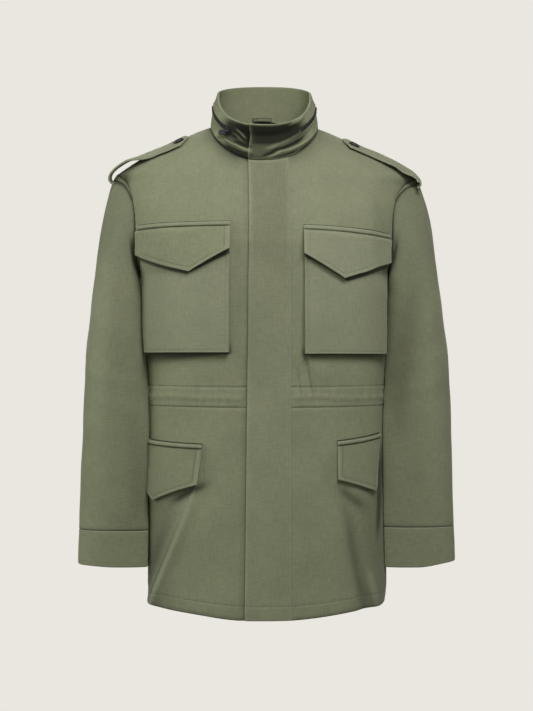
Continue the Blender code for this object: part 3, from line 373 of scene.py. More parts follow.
def lap_line(z):
    """x from which the right front lies at its full depth, just outside the fly's edge."""
    return fly_edge(z) - LAP_CLEAR


def grid_lengths(points):
    """Running lengths across the columns and along the rows of a grid of points."""
    across = np.cumsum(np.linalg.norm(np.diff(points, axis=1), axis=-1), axis=1)
    along = np.cumsum(np.linalg.norm(np.diff(points, axis=0), axis=-1), axis=0)
    return np.pad(across, ((0, 0), (1, 0))), np.pad(along, ((1, 0), (0, 0)))


def drawn_in(gap, along, ripple=0.00028, reach=0.006, groove=0.00035):
    """Cloth drawn in by sewing, gap away from it: a fine valley on its line and uneven ripples beside it."""
    wave = np.sin(along * 560 + 1.6 * np.sin(along * 133) + 0.9 * np.sin(along * 61 + 1))
    wave = wave * (0.65 + 0.35 * np.sin(along * 76 + 2))
    return ripple * wave * np.exp(-np.abs(gap) / reach) - groove * bell(gap, 0.0009)


SIDE_PULL = {-1: 0.0050, 1: 0.0135}


def side_pull(x, y, z):
    """How far the armholes' fronts lie in towards the middle, because the sleeves hang forward: a smooth bump
    between two distances from the middle and two levels, fading towards the back."""
    away = np.abs(x)
    level = 0.6 * soft_step(z, -0.275, -0.235) + 0.4 * soft_step(z, -0.46, -0.28)
    reach = soft_step(away, 0.150, 0.200) * soft_fall(away, 0.215, 0.262)
    pull = level * soft_fall(z, -0.120, -0.045) * reach * soft_fall(y, -0.020, 0.030)
    return np.sign(x) * np.where(x < 0, SIDE_PULL[-1], SIDE_PULL[1]) * pull


def settle(points):
    """The way this jacket hangs: near its neck it leans a little to the wearer's right, its left shoulder is
    a little lower, and its armholes' fronts lie further in."""
    x, y, z = np.moveaxis(points, -1, 0)
    near = soft_step(z, -0.16, -0.03) * soft_fall(np.abs(x), 0.09, 0.17)
    lower = soft_step(x, 0.03, 0.17) * soft_step(z, -0.160, -0.085)
    return points - np.stack((NECK_LEAN * near + side_pull(x, y, z), 0 * near, LEFT_LOWER * lower), axis=-1)


def grid_normals(points, hint, closed=False):
    """A grid's normals: the cross product of its two directions, turned to the side that hint points to."""
    around = np.gradient(points, axis=1)
    if closed:
        around = np.roll(points, -1, axis=1) - np.roll(points, 1, axis=1)
    normal = unit(np.cross(around, np.gradient(points, axis=0)))
    side = 1 if (normal * hint).sum() > 0 else -1
    return normal * side, side


def add_mesh(name, places, faces, finish, uv=None, wear=None):
    """A smooth-shaded mesh object of points and faces, with a UV map in metres and its wear and painted light
    and shade if given.
    """
    mesh = bpy.data.meshes.new(name)
    mesh.from_pydata(places.reshape(-1, 3), [], faces)
    mesh.polygons.foreach_set("use_smooth", np.ones(len(faces), bool))
    if uv is not None:
        mesh.uv_layers.new(name="cut").data.foreach_set("uv", uv.astype(np.float32).ravel())
        wear_and_light_tone = mesh.attributes.new("wear", "FLOAT", "POINT")
        wear_and_light_tone.data.foreach_set("value", wear.astype(np.float32).ravel())
    mesh.materials.append(finish)
    made = bpy.data.objects.new(name, mesh)
    bpy.context.scene.collection.objects.link(made)
    return made


Shell = namedtuple("Shell", "piece points normals")
RUBBED = 0.0022  # how far in from an edge the cloth is rubbed pale
SEWN_SHADE_REACH = 0.0018  # and how far in from a sewn one it is painted with shade


def cloth(name, points, wall, hint, finish, closed=False, roll=0.0007, inward=None, wear=0.0, inside=None,
          edge_wear_and_shade=1.0, under=0.0, first=0):
    """A closed shell of cloth: the grid's points, the same points moved in by its wall, and a rim between
    them. The outermost ring is moved in by roll, so that an edge or a seam is rounded. Its wear and painted
    light is above 0 where the cloth is rubbed pale and where a highlight is painted, and below 0 where shade
    is painted; along the edges it takes the edge value, pale wear above 0 and a painted shade line below 0,
    and under is added to it on the inner face. inside is an inner face of its own, first the first row that
    shows."""
    points = settle(points)
    rows, columns = points.shape[:2]
    normals, side = grid_normals(points, hint, closed)
    if inward is not None:
        normals = inward
    ring = np.zeros((rows, columns))
    ring[[1, -2]] = 0.25
    if not closed:
        ring[:, [1, -2]] = 0.25
        ring[:, [0, -1]] = 1.0
    ring[[0, -1]] = 1.0
    outer = points - normals * (roll * ring)[..., None]
    inner = (points if inside is None else settle(inside)) - normals * (wall - 0.6 * roll * ring)[..., None]
    across, along = grid_lengths(np.concatenate((points, points[:, :1]), axis=1) if closed else points)
    span = across.shape[1]
    edge = np.minimum(np.maximum(along - along[first], 0), along[-1] - along)[:, :columns]
    if not closed:
        edge = np.minimum(edge, np.minimum(across, across[:, -1:] - across))
    # Edges are rubbed pale where the edge value is above 0 and get a painted shade line where it is below 0.
    wear_and_light_tone = np.clip(edge_wear_and_shade * np.exp(-edge / (RUBBED if edge_wear_and_shade > 0 else SEWN_SHADE_REACH)) + wear, -1, 1)

    r, c = np.meshgrid(np.arange(rows - 1), np.arange(span - 1), indexing="ij")
    corner_row = np.stack((r, r, r + 1, r + 1), axis=-1).reshape(-1, 4)
    corner_column = np.stack((c, c + 1, c + 1, c), axis=-1).reshape(-1, 4)
    up, around = np.arange(rows), np.arange(span)
    rims = [(0 * around, around), (0 * around + rows - 1, around[::-1])]
    if not closed:
        rims += [(up, 0 * up + span - 1), (up[::-1], 0 * up)]
    rim_row, rim_column = [
        np.concatenate([np.stack((k[1:], k[:-1], k[:-1], k[1:]), -1) for k in places])
        for places in zip(*rims)
    ]
    rim_layer = np.broadcast_to((0, 0, 1, 1), rim_row.shape)
    layer = np.concatenate((np.zeros_like(corner_row), np.ones_like(corner_row), rim_layer))
    row = np.concatenate((corner_row, corner_row[:, ::-1], rim_row))
    column = np.concatenate((corner_column, corner_column[:, ::-1], rim_column))
    if side < 0:
        layer, row, column = layer[:, ::-1], row[:, ::-1], column[:, ::-1]
    quads = (layer * rows + row) * columns + column % columns
    grain = across[row, columns // 4] if closed else across[:, span // 2].mean()
    level = along - along[-1] if closed else along
    uv = np.stack((across[row, column] - grain, level[row, column % columns]), axis=-1)
    wear_and_painted_light_faces = np.concatenate((wear_and_light_tone, np.clip(wear_and_light_tone + under, -1, 1)))
    made = add_mesh(name, np.concatenate((outer, inner)), quads.tolist(), finish, uv, wear_and_painted_light_faces)
    return Shell(made, outer, normals)


def line_of(shell, row=None, column=None, start=None, stop=None):
    """A line for thread along a row or a column of a shell's grid."""
    pick = (row, slice(start, stop)) if row is not None else (slice(start, stop), column)
    return shell.points[pick], shell.normals[pick]


def colour(hex_value):
    """An sRGB hex colour as linear RGBA."""
    channels = np.array([int(hex_value[k : k + 2], 16) / 255 for k in (1, 3, 5)])
    linear = np.where(channels <= 0.04045, channels / 12.92, ((channels + 0.055) / 1.055) ** 2.4)
    return (*linear.tolist(), 1.0)


def add_node(tree, kind, settings=None, inputs=None, **values):
    """A node with its settings and its inputs: an output socket is linked, and anything else is a value."""
    node = tree.nodes.new(kind)
    for key, value in (settings or {}).items():
        setattr(node, key, value)
    named = {key.replace("_", " "): value for key, value in values.items()}
    for key, value in {**(inputs or {}), **named}.items():
        if isinstance(value, bpy.types.NodeSocket):
            tree.links.new(value, node.inputs[key])
        else:
            node.inputs[key].default_value = value
    return node


def mixed(tree, share, first, second, blend="MIX"):
    """The mix of two colours."""
    settings = {"data_type": "RGBA", "blend_type": blend}
    return add_node(tree, "ShaderNodeMix", settings, {0: share, 6: first, 7: second}).outputs[2]


def spread(tree, value, low, high, to_low=0.0, to_high=1.0):
    """A value between low and high, brought between two others."""
    ends = {"From Min": low, "From Max": high, "To Min": to_low, "To Max": to_high}
    return add_node(tree, "ShaderNodeMapRange", None, ends, Value=value).outputs[0]


def raise_surface(tree, shader, height, strength, distance):
    """A bump of that height on the shader."""
    bump = add_node(tree, "ShaderNodeBump", Height=height, Strength=strength, Distance=distance)
    tree.links.new(bump.outputs[0], shader.inputs["Normal"])


def new_finish(name):
    """A material, its node tree and its shader."""
    made = bpy.data.materials.new(name)
    made.use_nodes = True
    return made, made.node_tree, made.node_tree.nodes["Principled BSDF"]


RIB = 0.0016  # from one rib of the twill to the next, drawn twice as wide as the cloth's own to show
RIB_TURN = math.radians(63)
THREADS = ((440, 60, 1), (66, 480, 1))  # warp and weft threads for each metre, across them and along them


def noise(tree, place, scale, detail):
    """Noise in the cloth's own plane."""
    values = {"Vector": place, "Scale": scale, "Detail": detail}
    return add_node(tree, "ShaderNodeTexNoise", {"noise_dimensions": "2D"}, values).outputs["Fac"]


def turned_place(tree, place, **values):
    """A place turned or stretched."""
    return add_node(tree, "ShaderNodeMapping", Vector=place, **values).outputs[0]


def computed(tree, kind, *inputs):
    """A sum, a product, or the first times the second plus the third."""
    return add_node(tree, "ShaderNodeMath", {"operation": kind}, dict(enumerate(inputs))).outputs[0]


def twill_finish(name, base, wear_and_light_tone, shade, sheen=0.24, least=0.12, shine=0.30):
    """Cotton and nylon twill, woven, piece-dyed and washed: matt, with a faint slanting rib, threads that
    vary a little in thickness and dye, edges paler where washing has rubbed them, paler painted highlights,
    and painted shade in hollows, seams and under parts, which leaves them at least that share of the light."""
    made, tree, shader = new_finish(name)
    shader.inputs["Roughness"].default_value = 0.86
    shader.inputs["Specular IOR Level"].default_value = shine
    shader.inputs["Sheen Weight"].default_value = sheen
    shader.inputs["Sheen Roughness"].default_value = 0.50
    shader.inputs["Sheen Tint"].default_value = colour("#A4A994")
    cut = add_node(tree, "ShaderNodeTexCoord").outputs["UV"]
    threads = [noise(tree, turned_place(tree, cut, Scale=stretch), 1.0, 2.0) for stretch in THREADS]
    threads = computed(tree, "ADD", *threads)
    tint = mixed(tree, spread(tree, threads, 0.6, 1.4), colour(shade), colour(base))
    cloudy = spread(tree, noise(tree, cut, 16.0, 3.0), 0.25, 0.75, 0.93, 1.05)
    washed = mixed(tree, 1.0, tint, cloudy, "MULTIPLY")
    # The attribute carries real wear, painted highlights and painted shade.
    wear = add_node(tree, "ShaderNodeAttribute", {"attribute_name": "wear"}).outputs["Fac"]
    paler = mixed(tree, computed(tree, "MULTIPLY", wear, 0.35), washed, colour(wear_and_light_tone))
    deeper = mixed(tree, 1.0, paler, spread(tree, wear, -1.0, 0.0, least, 1.0), "MULTIPLY")
    tree.links.new(deeper, shader.inputs["Base Color"])
    rib = add_node(
        tree, "ShaderNodeTexWave", {"wave_type": "BANDS", "bands_direction": "X"}, Distortion=0.6, Detail=1.0,
        Vector=turned_place(tree, cut, Rotation=(0, 0, RIB_TURN)), Scale=1 / RIB / 10, Detail_Scale=40.0,
    )
    height = computed(tree, "MULTIPLY_ADD", threads, 0.8, rib.outputs["Fac"])
    raise_surface(tree, shader, height, 0.24, 0.00025)
    return made


def dress(piece, *nodes, slot="cotton_twill", body_name="garment"):
    """The piece rides on a body and stands for its CAD nodes, which are hidden. slot is not used."""
    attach(piece, body_name)
    if nodes:
        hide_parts(*nodes)


TWILL = ("#888F6D", "#9EA388", "#7A815F")  # as woven, where it is rubbed and where highlights are painted, and in the threads' shade
twill = twill_finish("piece_dyed_cotton_nylon_twill", *TWILL)
# The thread is drawn darker than the cloth, as painted shade of the stitches' grooves.
shaded_sewing_thread = twill_finish("core_spun_polyester_thread", "#62664F", "#62664F", "#555843")

seam_lines = []
left_turns = np.concatenate((FLY_TURNS[1] + np.array((0.0, 0.35, 0.9)), np.linspace(24.0, 90.0, 27)))
x, z = panel_grid(-1, left_turns, 1)
across = grid_lengths(body(x, z, -1))[0]
hem_row = nearest(LOWER_LEVELS, HEM_SIDE + HEM_TURN)
waist_rows = [nearest(LOWER_LEVELS, level) for level in WAIST]


def panel_sewing(across, along):
    """Sewing that both fronts and the back show: hem, tunnel, and the pull of the seams round the panel."""
    out = drawn_in(along - along[hem_row], across, 0.00030, 0.007, 0.0005)
    for row in waist_rows:
        out = out + drawn_in(along - along[row], across, 0.00030, 0.005, 0.0009)
    out = out + drawn_in(along[-1] - along, across, 0.00020, 0.005, 0.0)
    return out + drawn_in(across[:, -1:] - across, along, 0.00022, 0.005, 0.0)


def seam_tuck(points, normals, deep=0.0026, far=0.0022):
    """A grid with one more row before its first one, that lies under the piece it is sewn to."""
    tucked = points[0] + unit(points[0] - points[1]) * far - normals[0] * deep
    return np.concatenate((tucked[None], points))


def side_tuck(points, hint):
    """A grid with one more column after its last one, that lies under the piece it is sewn to."""
    turned_round = points[:, ::-1].swapaxes(0, 1)
    normals = grid_normals(points, hint)[0][:, ::-1].swapaxes(0, 1)
    return seam_tuck(turned_round, normals, deep=0.0022, far=0.0016).swapaxes(0, 1)[:, ::-1]


BAG_SHADES = rows_of(  # painted shadow below the right and the left chest pocket, and painted shade beside the collar
    "inner outer level deep_inner deep_outer by_pocket by_collar",
    (0.050, 0.187, -0.3600, 0.003, 0.026, 0.95, 0.75),
    (0.050, 0.190, -0.3625, 0.005, 0.009, 0.65, 0.42),
)
FOLD_SHADES = {  # bells of painted highlight and painted shade along the skirt's folds, and painted shadow under the lower flaps
    -1: rows_of(
        FOLD,
        (-0.106, -0.560, -0.124, -0.612, 0.0036, 0.70),
        (-0.1175, -0.600, -0.176, -0.742, 0.0032, 1.70),
        (-0.1235, -0.600, -0.182, -0.742, 0.0045, -0.30),
        (-0.148, -0.600, -0.190, -0.722, 0.0150, -0.34),
        (-0.152, -0.592, -0.104, -0.566, 0.0085, -1.00),
    ),
    1: rows_of(
        FOLD,
        (0.057, -0.352, 0.068, -0.412, 0.0020, -0.40),
        (0.045, -0.378, 0.052, -0.416, 0.0018, -0.30),
        (0.116, -0.575, 0.148, -0.728, 0.0110, -0.42),
        (0.155, -0.690, 0.170, -0.748, 0.0045, 0.90),
        (0.104, -0.560, 0.140, -0.590, 0.0100, -0.60),
        (0.179, -0.500, 0.173, -0.610, 0.0050, -1.20),
    ),
}


def front_shade(x, z):
    """Painted shade on the fronts: darker at the skirt's sides, beside the collar and along the tunnel's
    stitch lines, and painted shadow in the lee of the chest pockets, as deep below them as the table says.
    Folds have painted highlights on their ridges and painted shade in their troughs."""
    side = 1 if x.mean() > 0 else -1
    away = np.abs(x)
    lee = BAG_SHADES[side > 0]
    shade = -0.30 * soft_step(away, 0.120, 0.175) * soft_fall(z, -0.58, -0.46)
    from_neck = np.hypot(x / NECK_HALF, (z - 0.035) / 0.097)
    shade = shade - lee.by_collar * bell(from_neck - 1, 0.19) * soft_step(away, 0.020, 0.05)
    shade = shade + sum(ridge(fold, x, z) for fold in FOLD_SHADES[side])
    shade = shade - 0.40 * bell(z - WAIST[1], 0.0010) - 0.15 * bell(z - WAIST[0], 0.0010)
    deep = mix(lee.deep_inner, lee.deep_outer, np.clip((away - lee.inner) / (lee.outer - lee.inner), 0, 1))
    beside = soft_step(away, lee.inner, lee.inner + 0.006) * soft_fall(away, lee.outer - 0.004, lee.outer)
    below = soft_step(z, lee.level - deep, lee.level - 0.3 * deep)
    below = below * soft_fall(z, lee.level, lee.level + 0.02)
    return shade - lee.by_pocket * beside * below


def front_panel(name, x, z, sunk, shade):
    """A front from its grid, sunk where it runs under the fly, with its painted shade. Its seams get painted
    shade lines.
    """
    points = side_tuck(body(x, z, -1, panel_sewing(*grid_lengths(body(x, z, -1))) - sunk), (0, -1, 0))
    wear = np.concatenate((shade, shade[:, -1:]), axis=1)
    made = cloth(f"{name}_panel", points, CLOTH, (0, -1, 0), twill, wear=wear, edge_wear_and_shade=-1.0)
    dress(made.piece, name)
    return made


shade = front_shade(x, z) + 0.85 * np.exp(-across / SEWN_SHADE_REACH)  # lifts the painted seam shade off the edge at the fly, which isn't a seam that shows
front_left = front_panel("front_left", x, z, 0.0, shade)
seam_lines += [line_of(front_left, row=row) for row in (hem_row, *waist_rows)]

right_turns = np.concatenate((np.linspace(5.6, -15.6, 9), np.linspace(-18.0, -90.0, 29)))
x, z = panel_grid(-1, right_turns, -1, edge=lap_line)
under = LAP_DEPTH * soft_step(x, lap_line(z) - 0.006, lap_line(z))
# Painted shadow beside the fly's free edge, deeper lower down.
fly_lee = bell(x - fly_edge(z), 0.0020) * (0.35 + 0.55 * soft_fall(z, -0.40, -0.20))
front_right = front_panel("front_right", x, z, under, front_shade(x, z) - fly_lee)
beside_fly = int(np.argmax(right_turns < -15.7))
seam_lines += [line_of(front_right, row=row, start=beside_fly) for row in (hem_row, *waist_rows)]

# ---------------------------------------------------------------- the storm fly
# A strip of two plies over the closed front, sewn to the left front and left free at its other edge.

FLY_ROOT = 0.0363
FLY_STITCH = 0.0040  # from its seam to the row of stitches beside it

fly_turns = np.concatenate(((FLY_TURNS[0],), np.linspace(-13.4, 20.8, 22), (FLY_TURNS[1],)))
top = NECK_HALF * neck_round(fly_turns)[0]
z = panel_levels(top, -1, fly_turns)
x = mix(fly_edge(z), FLY_ROOT + 0.0011, (top - top[0]) / (top[-1] - top[0]))
across, along = grid_lengths(body(x, z, -1))
near_neck = np.exp(-(along[-1] - along) / 0.035)
out = drawn_in(along - along[hem_row], across, 0.0002, 0.006, 0.0005)
out = out + drawn_in(across - 0.004, along, 0.0002, 0.004, 0.0) * (1 + 3.0 * near_neck)
out = out + drawn_in(across[:, -1:] - across - FLY_STITCH, along, 0.00015, 0.005, 0.0)
# Painted shade on the fly's upper part and painted light on its lower part; its edges are rubbed pale.
storm_fly = cloth(
    "storm_fly_strip", body(x, z, -1, out + 0.0001), FLY_WALL, (0, -1, 0), twill, roll=0.0006,
    wear=-0.20 + 0.32 * soft_fall(z, -0.30, -0.16),
)
dress(storm_fly.piece, "storm_fly")
fly_root = nearest(across[100, -1] - across[100], FLY_STITCH)
seam_lines += [line_of(storm_fly, column=fly_root), line_of(storm_fly, row=hem_row)]

# ---------------------------------------------------------------- the back
# One panel of the same twill, side seam to side seam, up to the shoulder and neck seams.

neck_turns = np.linspace(90.0, 180.0, 28)
half_top = NECK_HALF * neck_round(neck_turns)[0]
half_top[-1] = 0.0
shoulder = graded(NECK_HALF + 0.0012, SHOULDER_HALF, 0.0034)[::-1]
half_top = np.concatenate((shoulder, half_top))
half_turns = np.concatenate((np.full(len(shoulder), 90.0), neck_turns))
top = np.concatenate((-half_top, half_top[-2::-1]))
z = panel_levels(top, 1, np.concatenate((half_turns, half_turns[-2::-1])))
x = top / SHOULDER_HALF * even_half(z, top / SHOULDER_HALF)
across, along = grid_lengths(body(x, z, 1))
out = panel_sewing(across, along) + drawn_in(across, along, 0.00022, 0.005, 0.0)
# Painted shade lines along its seams.
back = cloth("back_panel", body(x, z, 1, out), CLOTH, (0, 1, 0), twill, edge_wear_and_shade=-1.0)
dress(back.piece, "back")
seam_lines += [line_of(back, row=row) for row in (hem_row, *waist_rows)]

# ---------------------------------------------------------------- sleeves, gussets and cuffs
# Each sleeve is one tube of twill from the armhole seam to a straight cuff of two plies. A small crescent is
# let in over the shoulder's end, under the strap.


SLEEVE = rows_of(
    "level outer inner front back",
    (-0.720, 0.2965, 0.1800, -0.072, 0.004),
    (-0.701, 0.2965, 0.1800, -0.073, 0.006),
    (-0.636, 0.2955, 0.1790, -0.077, 0.014),
    (-0.540, 0.2935, 0.1780, -0.084, 0.036),
    (-0.452, 0.2905, 0.1790, -0.088, 0.054),
    (-0.372, 0.2870, 0.1840, -0.092, 0.068),
    (-0.300, 0.2785, 0.1900, -0.095, 0.080),
)
SLEEVE_POWER = 2.4
SLEEVE_CLEAR = 0.0010  # off the body
SLEEVE_AXIS = 0.24  # distance of its middle line from the jacket's
CREASE_PHASE = {-1: 0.6, 1: 2.4}  # so that the two sleeves crease differently
SLEEVE_IN = {-1: 0.0065, 1: 0.006}  # their insides lie this much farther in than in the table
LOW_SLEEVE_IN = {-1: 0.0040, 1: 0.0110}  # and below the elbow this much more
CAP_FOOT = -0.300  # where the sleeve head has become a level section
CUFF_SEAM = {-1: -0.6375, 1: -0.6320}
CUFF_END = -0.6950
CUFF_WALL = 0.003
SLEEVE_HOLLOWS = {  # bells of painted shade and painted highlight along the sleeves' fronts
    -1: rows_of(
        FOLD,
        (-0.206, -0.44, -0.200, -0.60, 0.022, -0.18),
        (-0.258, -0.20, -0.268, -0.40, 0.018, 0.40),
    ),
    1: rows_of(FOLD, (0.236, -0.20, 0.210, -0.42, 0.026, -0.30)),
}
CUFF_SLANT = {-1: 0.0030, 1: 0.0080}  # how much higher the cuffs' ends lie at their outer sides
GUSSET_REACH = 0.19
GUSSET_STEPS = (0.0, 0.06, 0.2, 0.4, 0.6, 0.8, 0.94, 1.0)
CUFF_STITCH = 0.006  # from the cuff's end
ARMHOLE_ROWS = 3, 5  # steps from the underarm to the armhole's deepest level, and from there to the shoulder
FINER = 8  # columns for each of those steps


def armhole(side):
    """The armhole seam as a closed loop, from the shoulder's end down the front to the underarm and up the
    back, in even angles: of a quarter circle below the deepest level, and of the crest's curve above it."""
    low, high = ARMHOLE_ROWS[0] * FINER, ARMHOLE_ROWS[1] * FINER
    quarter = np.arange(low + 1) / low * math.pi / 2
    z_low = ARMHOLE_MID - (ARMHOLE_MID - UNDERARM) * np.cos(quarter)
    turn = math.pi / 2 * (1 - np.arange(1, high + 1) / high)
    drop = 1 - np.clip(np.cos(turn), 0, 1) ** (2 / CREST_POWER_END)
    z = np.concatenate((z_low, SHOULDER_END - (SHOULDER_END - ARMHOLE_MID) * drop))
    x = side * smooth(BODY, "half_width", z)
    ends = []
    for face in (-1, 1):
        y = body_y(x, z, face) + face * SEAM_GAP / 2
        y[0], y[-1] = seam_plane(z[0]), seam_plane(z[-1])
        ends.append(np.stack((x, y, z), axis=-1))
    return np.concatenate((ends[0][::-1], ends[1][1:-1]))


def body_side(y, level):
    """Distance from the middle of the body's side at a place y, below the underarm."""
    depth = np.where(y < 0, smooth(BODY, "front", level), smooth(BODY, "back", level))
    rest = 1 - np.clip(np.abs(y) / depth, 0, 1) ** SECTION_POWER
    return smooth(BODY, "half_width", level) * rest ** (1 / SECTION_POWER)


def pressed(x, limit, blend=0.0015):
    """The larger of two distances with a soft corner: limit + log(1 + e^((x - limit) / blend)) blend."""
    return limit + np.logaddexp(0, (x - limit) / blend) * blend


def sleeve_section(level, side, columns):
    """A level superellipse from the sleeve's outer edge to its front, inside and back."""
    outer, inner = smooth(SLEEVE, "outer", level), smooth(SLEEVE, "inner", level)
    inner = inner - SLEEVE_IN[side] - LOW_SLEEVE_IN[side] * soft_step(-level, 0.38, 0.50)
    front, back_y = smooth(SLEEVE, "front", level), smooth(SLEEVE, "back", level)
    turn = np.arange(columns) / columns * 2 * math.pi
    ahead, across = superellipse(turn, SLEEVE_POWER)
    y = (front + back_y) / 2 - (back_y - front) / 2 * ahead
    x = (outer + inner) / 2 + (outer - inner) / 2 * across
    x = side * pressed(x, body_side(y, level) + SLEEVE_CLEAR)
    return np.stack((x, y, np.full(columns, level)), axis=-1)


def cap_curve(loop, side, t):
    """Cubic curves from the armhole to the sleeve's first level section; t has a share for each column."""
    turn = np.arange(len(loop)) / len(loop) * 2 * math.pi
    start = loop + np.array((side * SEAM_GAP, 0, 0))
    end = sleeve_section(CAP_FOOT, side, len(loop))
    crown = (1 + np.cos(turn)) / 2
    leave = 0.009 + 0.007 * crown + 0.010 * np.sin(turn) ** 2
    first = start + np.stack((side * leave, -0.003 * np.sin(turn), -0.45 * leave), axis=-1)
    last = end + np.stack((-side * 0.016 * crown, 0 * turn, 0.60 * (start[:, 2] - end[:, 2])), axis=-1)
    t = np.asarray(t)[..., None]
    curve = (1 - t) ** 3 * start + 3 * t * (1 - t) ** 2 * first + 3 * t**2 * (1 - t) * last + t**3 * end
    below = UNDERARM - curve[..., 2]
    clear = body_side(curve[..., 1], curve[..., 2]) + SLEEVE_CLEAR * soft_step(below, 0.0, 0.010)
    curve[..., 0] = side * np.maximum(side * curve[..., 0], np.where(below > 0, clear, 0.0))
    return curve


def sleeve_creases(points, side, phase):
    """The sleeve's hang: soft lengthwise waves, shallow drags round the elbow, and slight unevenness."""
    x, y, level = side * points[..., 0], points[..., 1], points[..., 2]
    turn = np.arctan2(-(y + 0.01), x - SLEEVE_AXIS)
    hang = 0.0007 * np.sin(3 * turn + phase + level * 6) + 0.0006 * np.sin(5 * turn - level * 17 + 2 * phase)
    elbow = np.exp(-(((level + 0.415) / 0.060) ** 2)) * (0.55 + 0.45 * np.cos(turn - 2.2))
    drag = 0.0004 * elbow * np.sin(level * 150 + 3.0 * turn + phase)
    drag = drag * soft_step(np.cos(turn - 2.0), -0.2, 0.7)
    return hang + drag + 0.0003 * np.sin(level * 71 + 4 * turn) + 0.00025 * np.sin(level * 43 - 9 * turn)


def on_body(points, normals, side, out):
    """Cloth moved out along its normals, but not where it lies against the body's side."""
    by_body = points[..., 0] * side < body_side(points[..., 1], points[..., 2]) + 0.006
    return points + normals * np.where(by_body, np.minimum(out, 0), out)[..., None]


def from_axis(points, side):
    """Directions away from the sleeve's middle line."""
    return (points - np.array((side * SLEEVE_AXIS, 0, 0))) * (1, 1, 0)


cuff_lines = []
for side, name in ((-1, "right"), (1, "left")):
    loop = armhole(side)
    columns = len(loop)
    away = np.minimum(np.arange(columns), columns - np.arange(columns)) / FINER
    crescent = np.where(away > 3, 0.0, GUSSET_REACH * np.clip(1 - away / 3, 0, 1) + 0.008)
    outward = np.array((side, 0, 0.2))

    points = np.stack([cap_curve(loop, side, crescent * t) for t in GUSSET_STEPS])
    points = points[:, np.arange(-3 * FINER, 3 * FINER + 1)]
    points = seam_tuck(points, grid_normals(points, outward)[0])
    # Painted shade lines along its seams.
    gusset = cloth(f"gusset_{name}_crescent", points, CLOTH, outward, twill, roll=0.0004, edge_wear_and_shade=-1.0, first=1)
    dress(gusset.piece, f"gusset_{name}")

    begin = np.where(crescent > 0, crescent + SEAM_GAP / 0.15, 0.0)
    cap_steps = graded(0.0, 1.0, 0.027, fine=0.006)
    cap = np.stack([cap_curve(loop, side, mix(begin, 1, t)) for t in cap_steps])
    levels = -graded(-CAP_FOOT, -CUFF_SEAM[side], 0.0036)[3:]
    points = np.concatenate((cap, np.stack([sleeve_section(level, side, columns) for level in levels])))
    normals, _ = grid_normals(points, from_axis(points, side), closed=True)
    across, along = grid_lengths(points)
    fade = soft_step(along, 0.01, 0.09) * soft_step(along[-1] - along, 0.0, 0.03)
    out = sleeve_creases(points, side, CREASE_PHASE[side]) * fade
    out = out + drawn_in(along, across, 0.00030, 0.007, 0.0)
    out = out + drawn_in(along[-1] - along, across, 0.00025, 0.006, 0.0)
    points = seam_tuck(on_body(points, normals, side, out), normals)
    x, y, z = np.moveaxis(points, -1, 0)
    near_cap = soft_step(z, -0.27, -0.19)
    inner_half = soft_fall(side * x, 0.225, 0.268) * (1 - near_cap)
    hollow = sum(ridge(fold, x, z) for fold in SLEEVE_HOLLOWS[side]) * soft_fall(y, -0.02, 0.0)
    # Painted shade near the sleeve's head and towards its inner side, the hollows' painted shade and
    # highlight, and painted shade lines at its seams.
    sleeve = cloth(
        f"sleeve_{name}_tube", points, CLOTH, from_axis(points, side), twill, closed=True,
        wear=hollow - 0.26 * near_cap - 0.08 * inner_half, edge_wear_and_shade=-1.0, first=1,
    )
    dress(sleeve.piece, f"sleeve_{name}")

    levels = -graded(-(CUFF_SEAM[side] - SEAM_GAP), -CUFF_END, 0.0034)
    points = np.stack([sleeve_section(level, side, columns) for level in levels])
    outer_half = soft_step(side * points[..., 0], 0.235, 0.300)
    points[..., 2] += CUFF_SLANT[side] * np.linspace(0, 1, len(levels))[:, None] * outer_half
    across, along = grid_lengths(points)
    normals, _ = grid_normals(points, from_axis(points, side), closed=True)
    turn = np.arctan2(-(points[..., 1] + 0.034), side * points[..., 0] - SLEEVE_AXIS)
    out = 0.0007 * np.sin(2 * turn + 0.8 + along * 20) * soft_step(along, 0.0, 0.03)
    out = out + 0.0012 * bell(turn - 0.5, 0.25) * soft_step(along, 0.015, 0.06)
    out = out + drawn_in(along, across, 0.00030, 0.006, 0.0)
    out = out + drawn_in(along[-1] - along - CUFF_STITCH, across, 0.00022, 0.006, 0.0)
    points = on_body(points, normals, side, out)
    hint = from_axis(points, side)
    cuff = cloth(f"cuff_{name}_band", points, CUFF_WALL, hint, twill, closed=True, roll=0.0010)
    dress(cuff.piece, f"cuff_{name}")
    cuff_lines += [line_of(cuff, row=2), line_of(cuff, row=nearest(levels, CUFF_END + CUFF_STITCH))]
    cuff_lines.append(line_of(sleeve, row=4))
seam_lines += [(np.concatenate((p, p[:1])), np.concatenate((n, n[:1]))) for p, n in cuff_lines]


# ---------------------------------------------------------------- the collar
# A stand collar of two plies that holds a thin folded hood behind a zip, so it is thick and creases softly.
# Its left end laps over its right one. A narrow loop of twill hangs at the back neck seam, inside.

COLLAR_WALL = 0.0035
COLLAR_HEIGHT = {-1: 0.055, 0: 0.056, 1: 0.054}
COLLAR_TOP_HALF = 0.0750
COLLAR_TOP_DEPTH = {-1: 0.087, 1: 0.062}
COLLAR_BULGE = 0.002
ZIP_HEIGHT = 0.60
ZIP_ENDS = (-39.6, 41.7)  # degrees round the neck from the front, wearer's right and left
COLLAR_ENDS = (6.8, -373.9)  # its under and its upper end
ZIP_FOLDS = ((0.0024, 0.0056, 0.0012), (0.0016, -0.0052, 0.0012), (0.0012, 0.0092, 0.0011))  # high, at, wide
COLLAR_ARC = 0.0014  # metres round the collar for each degree

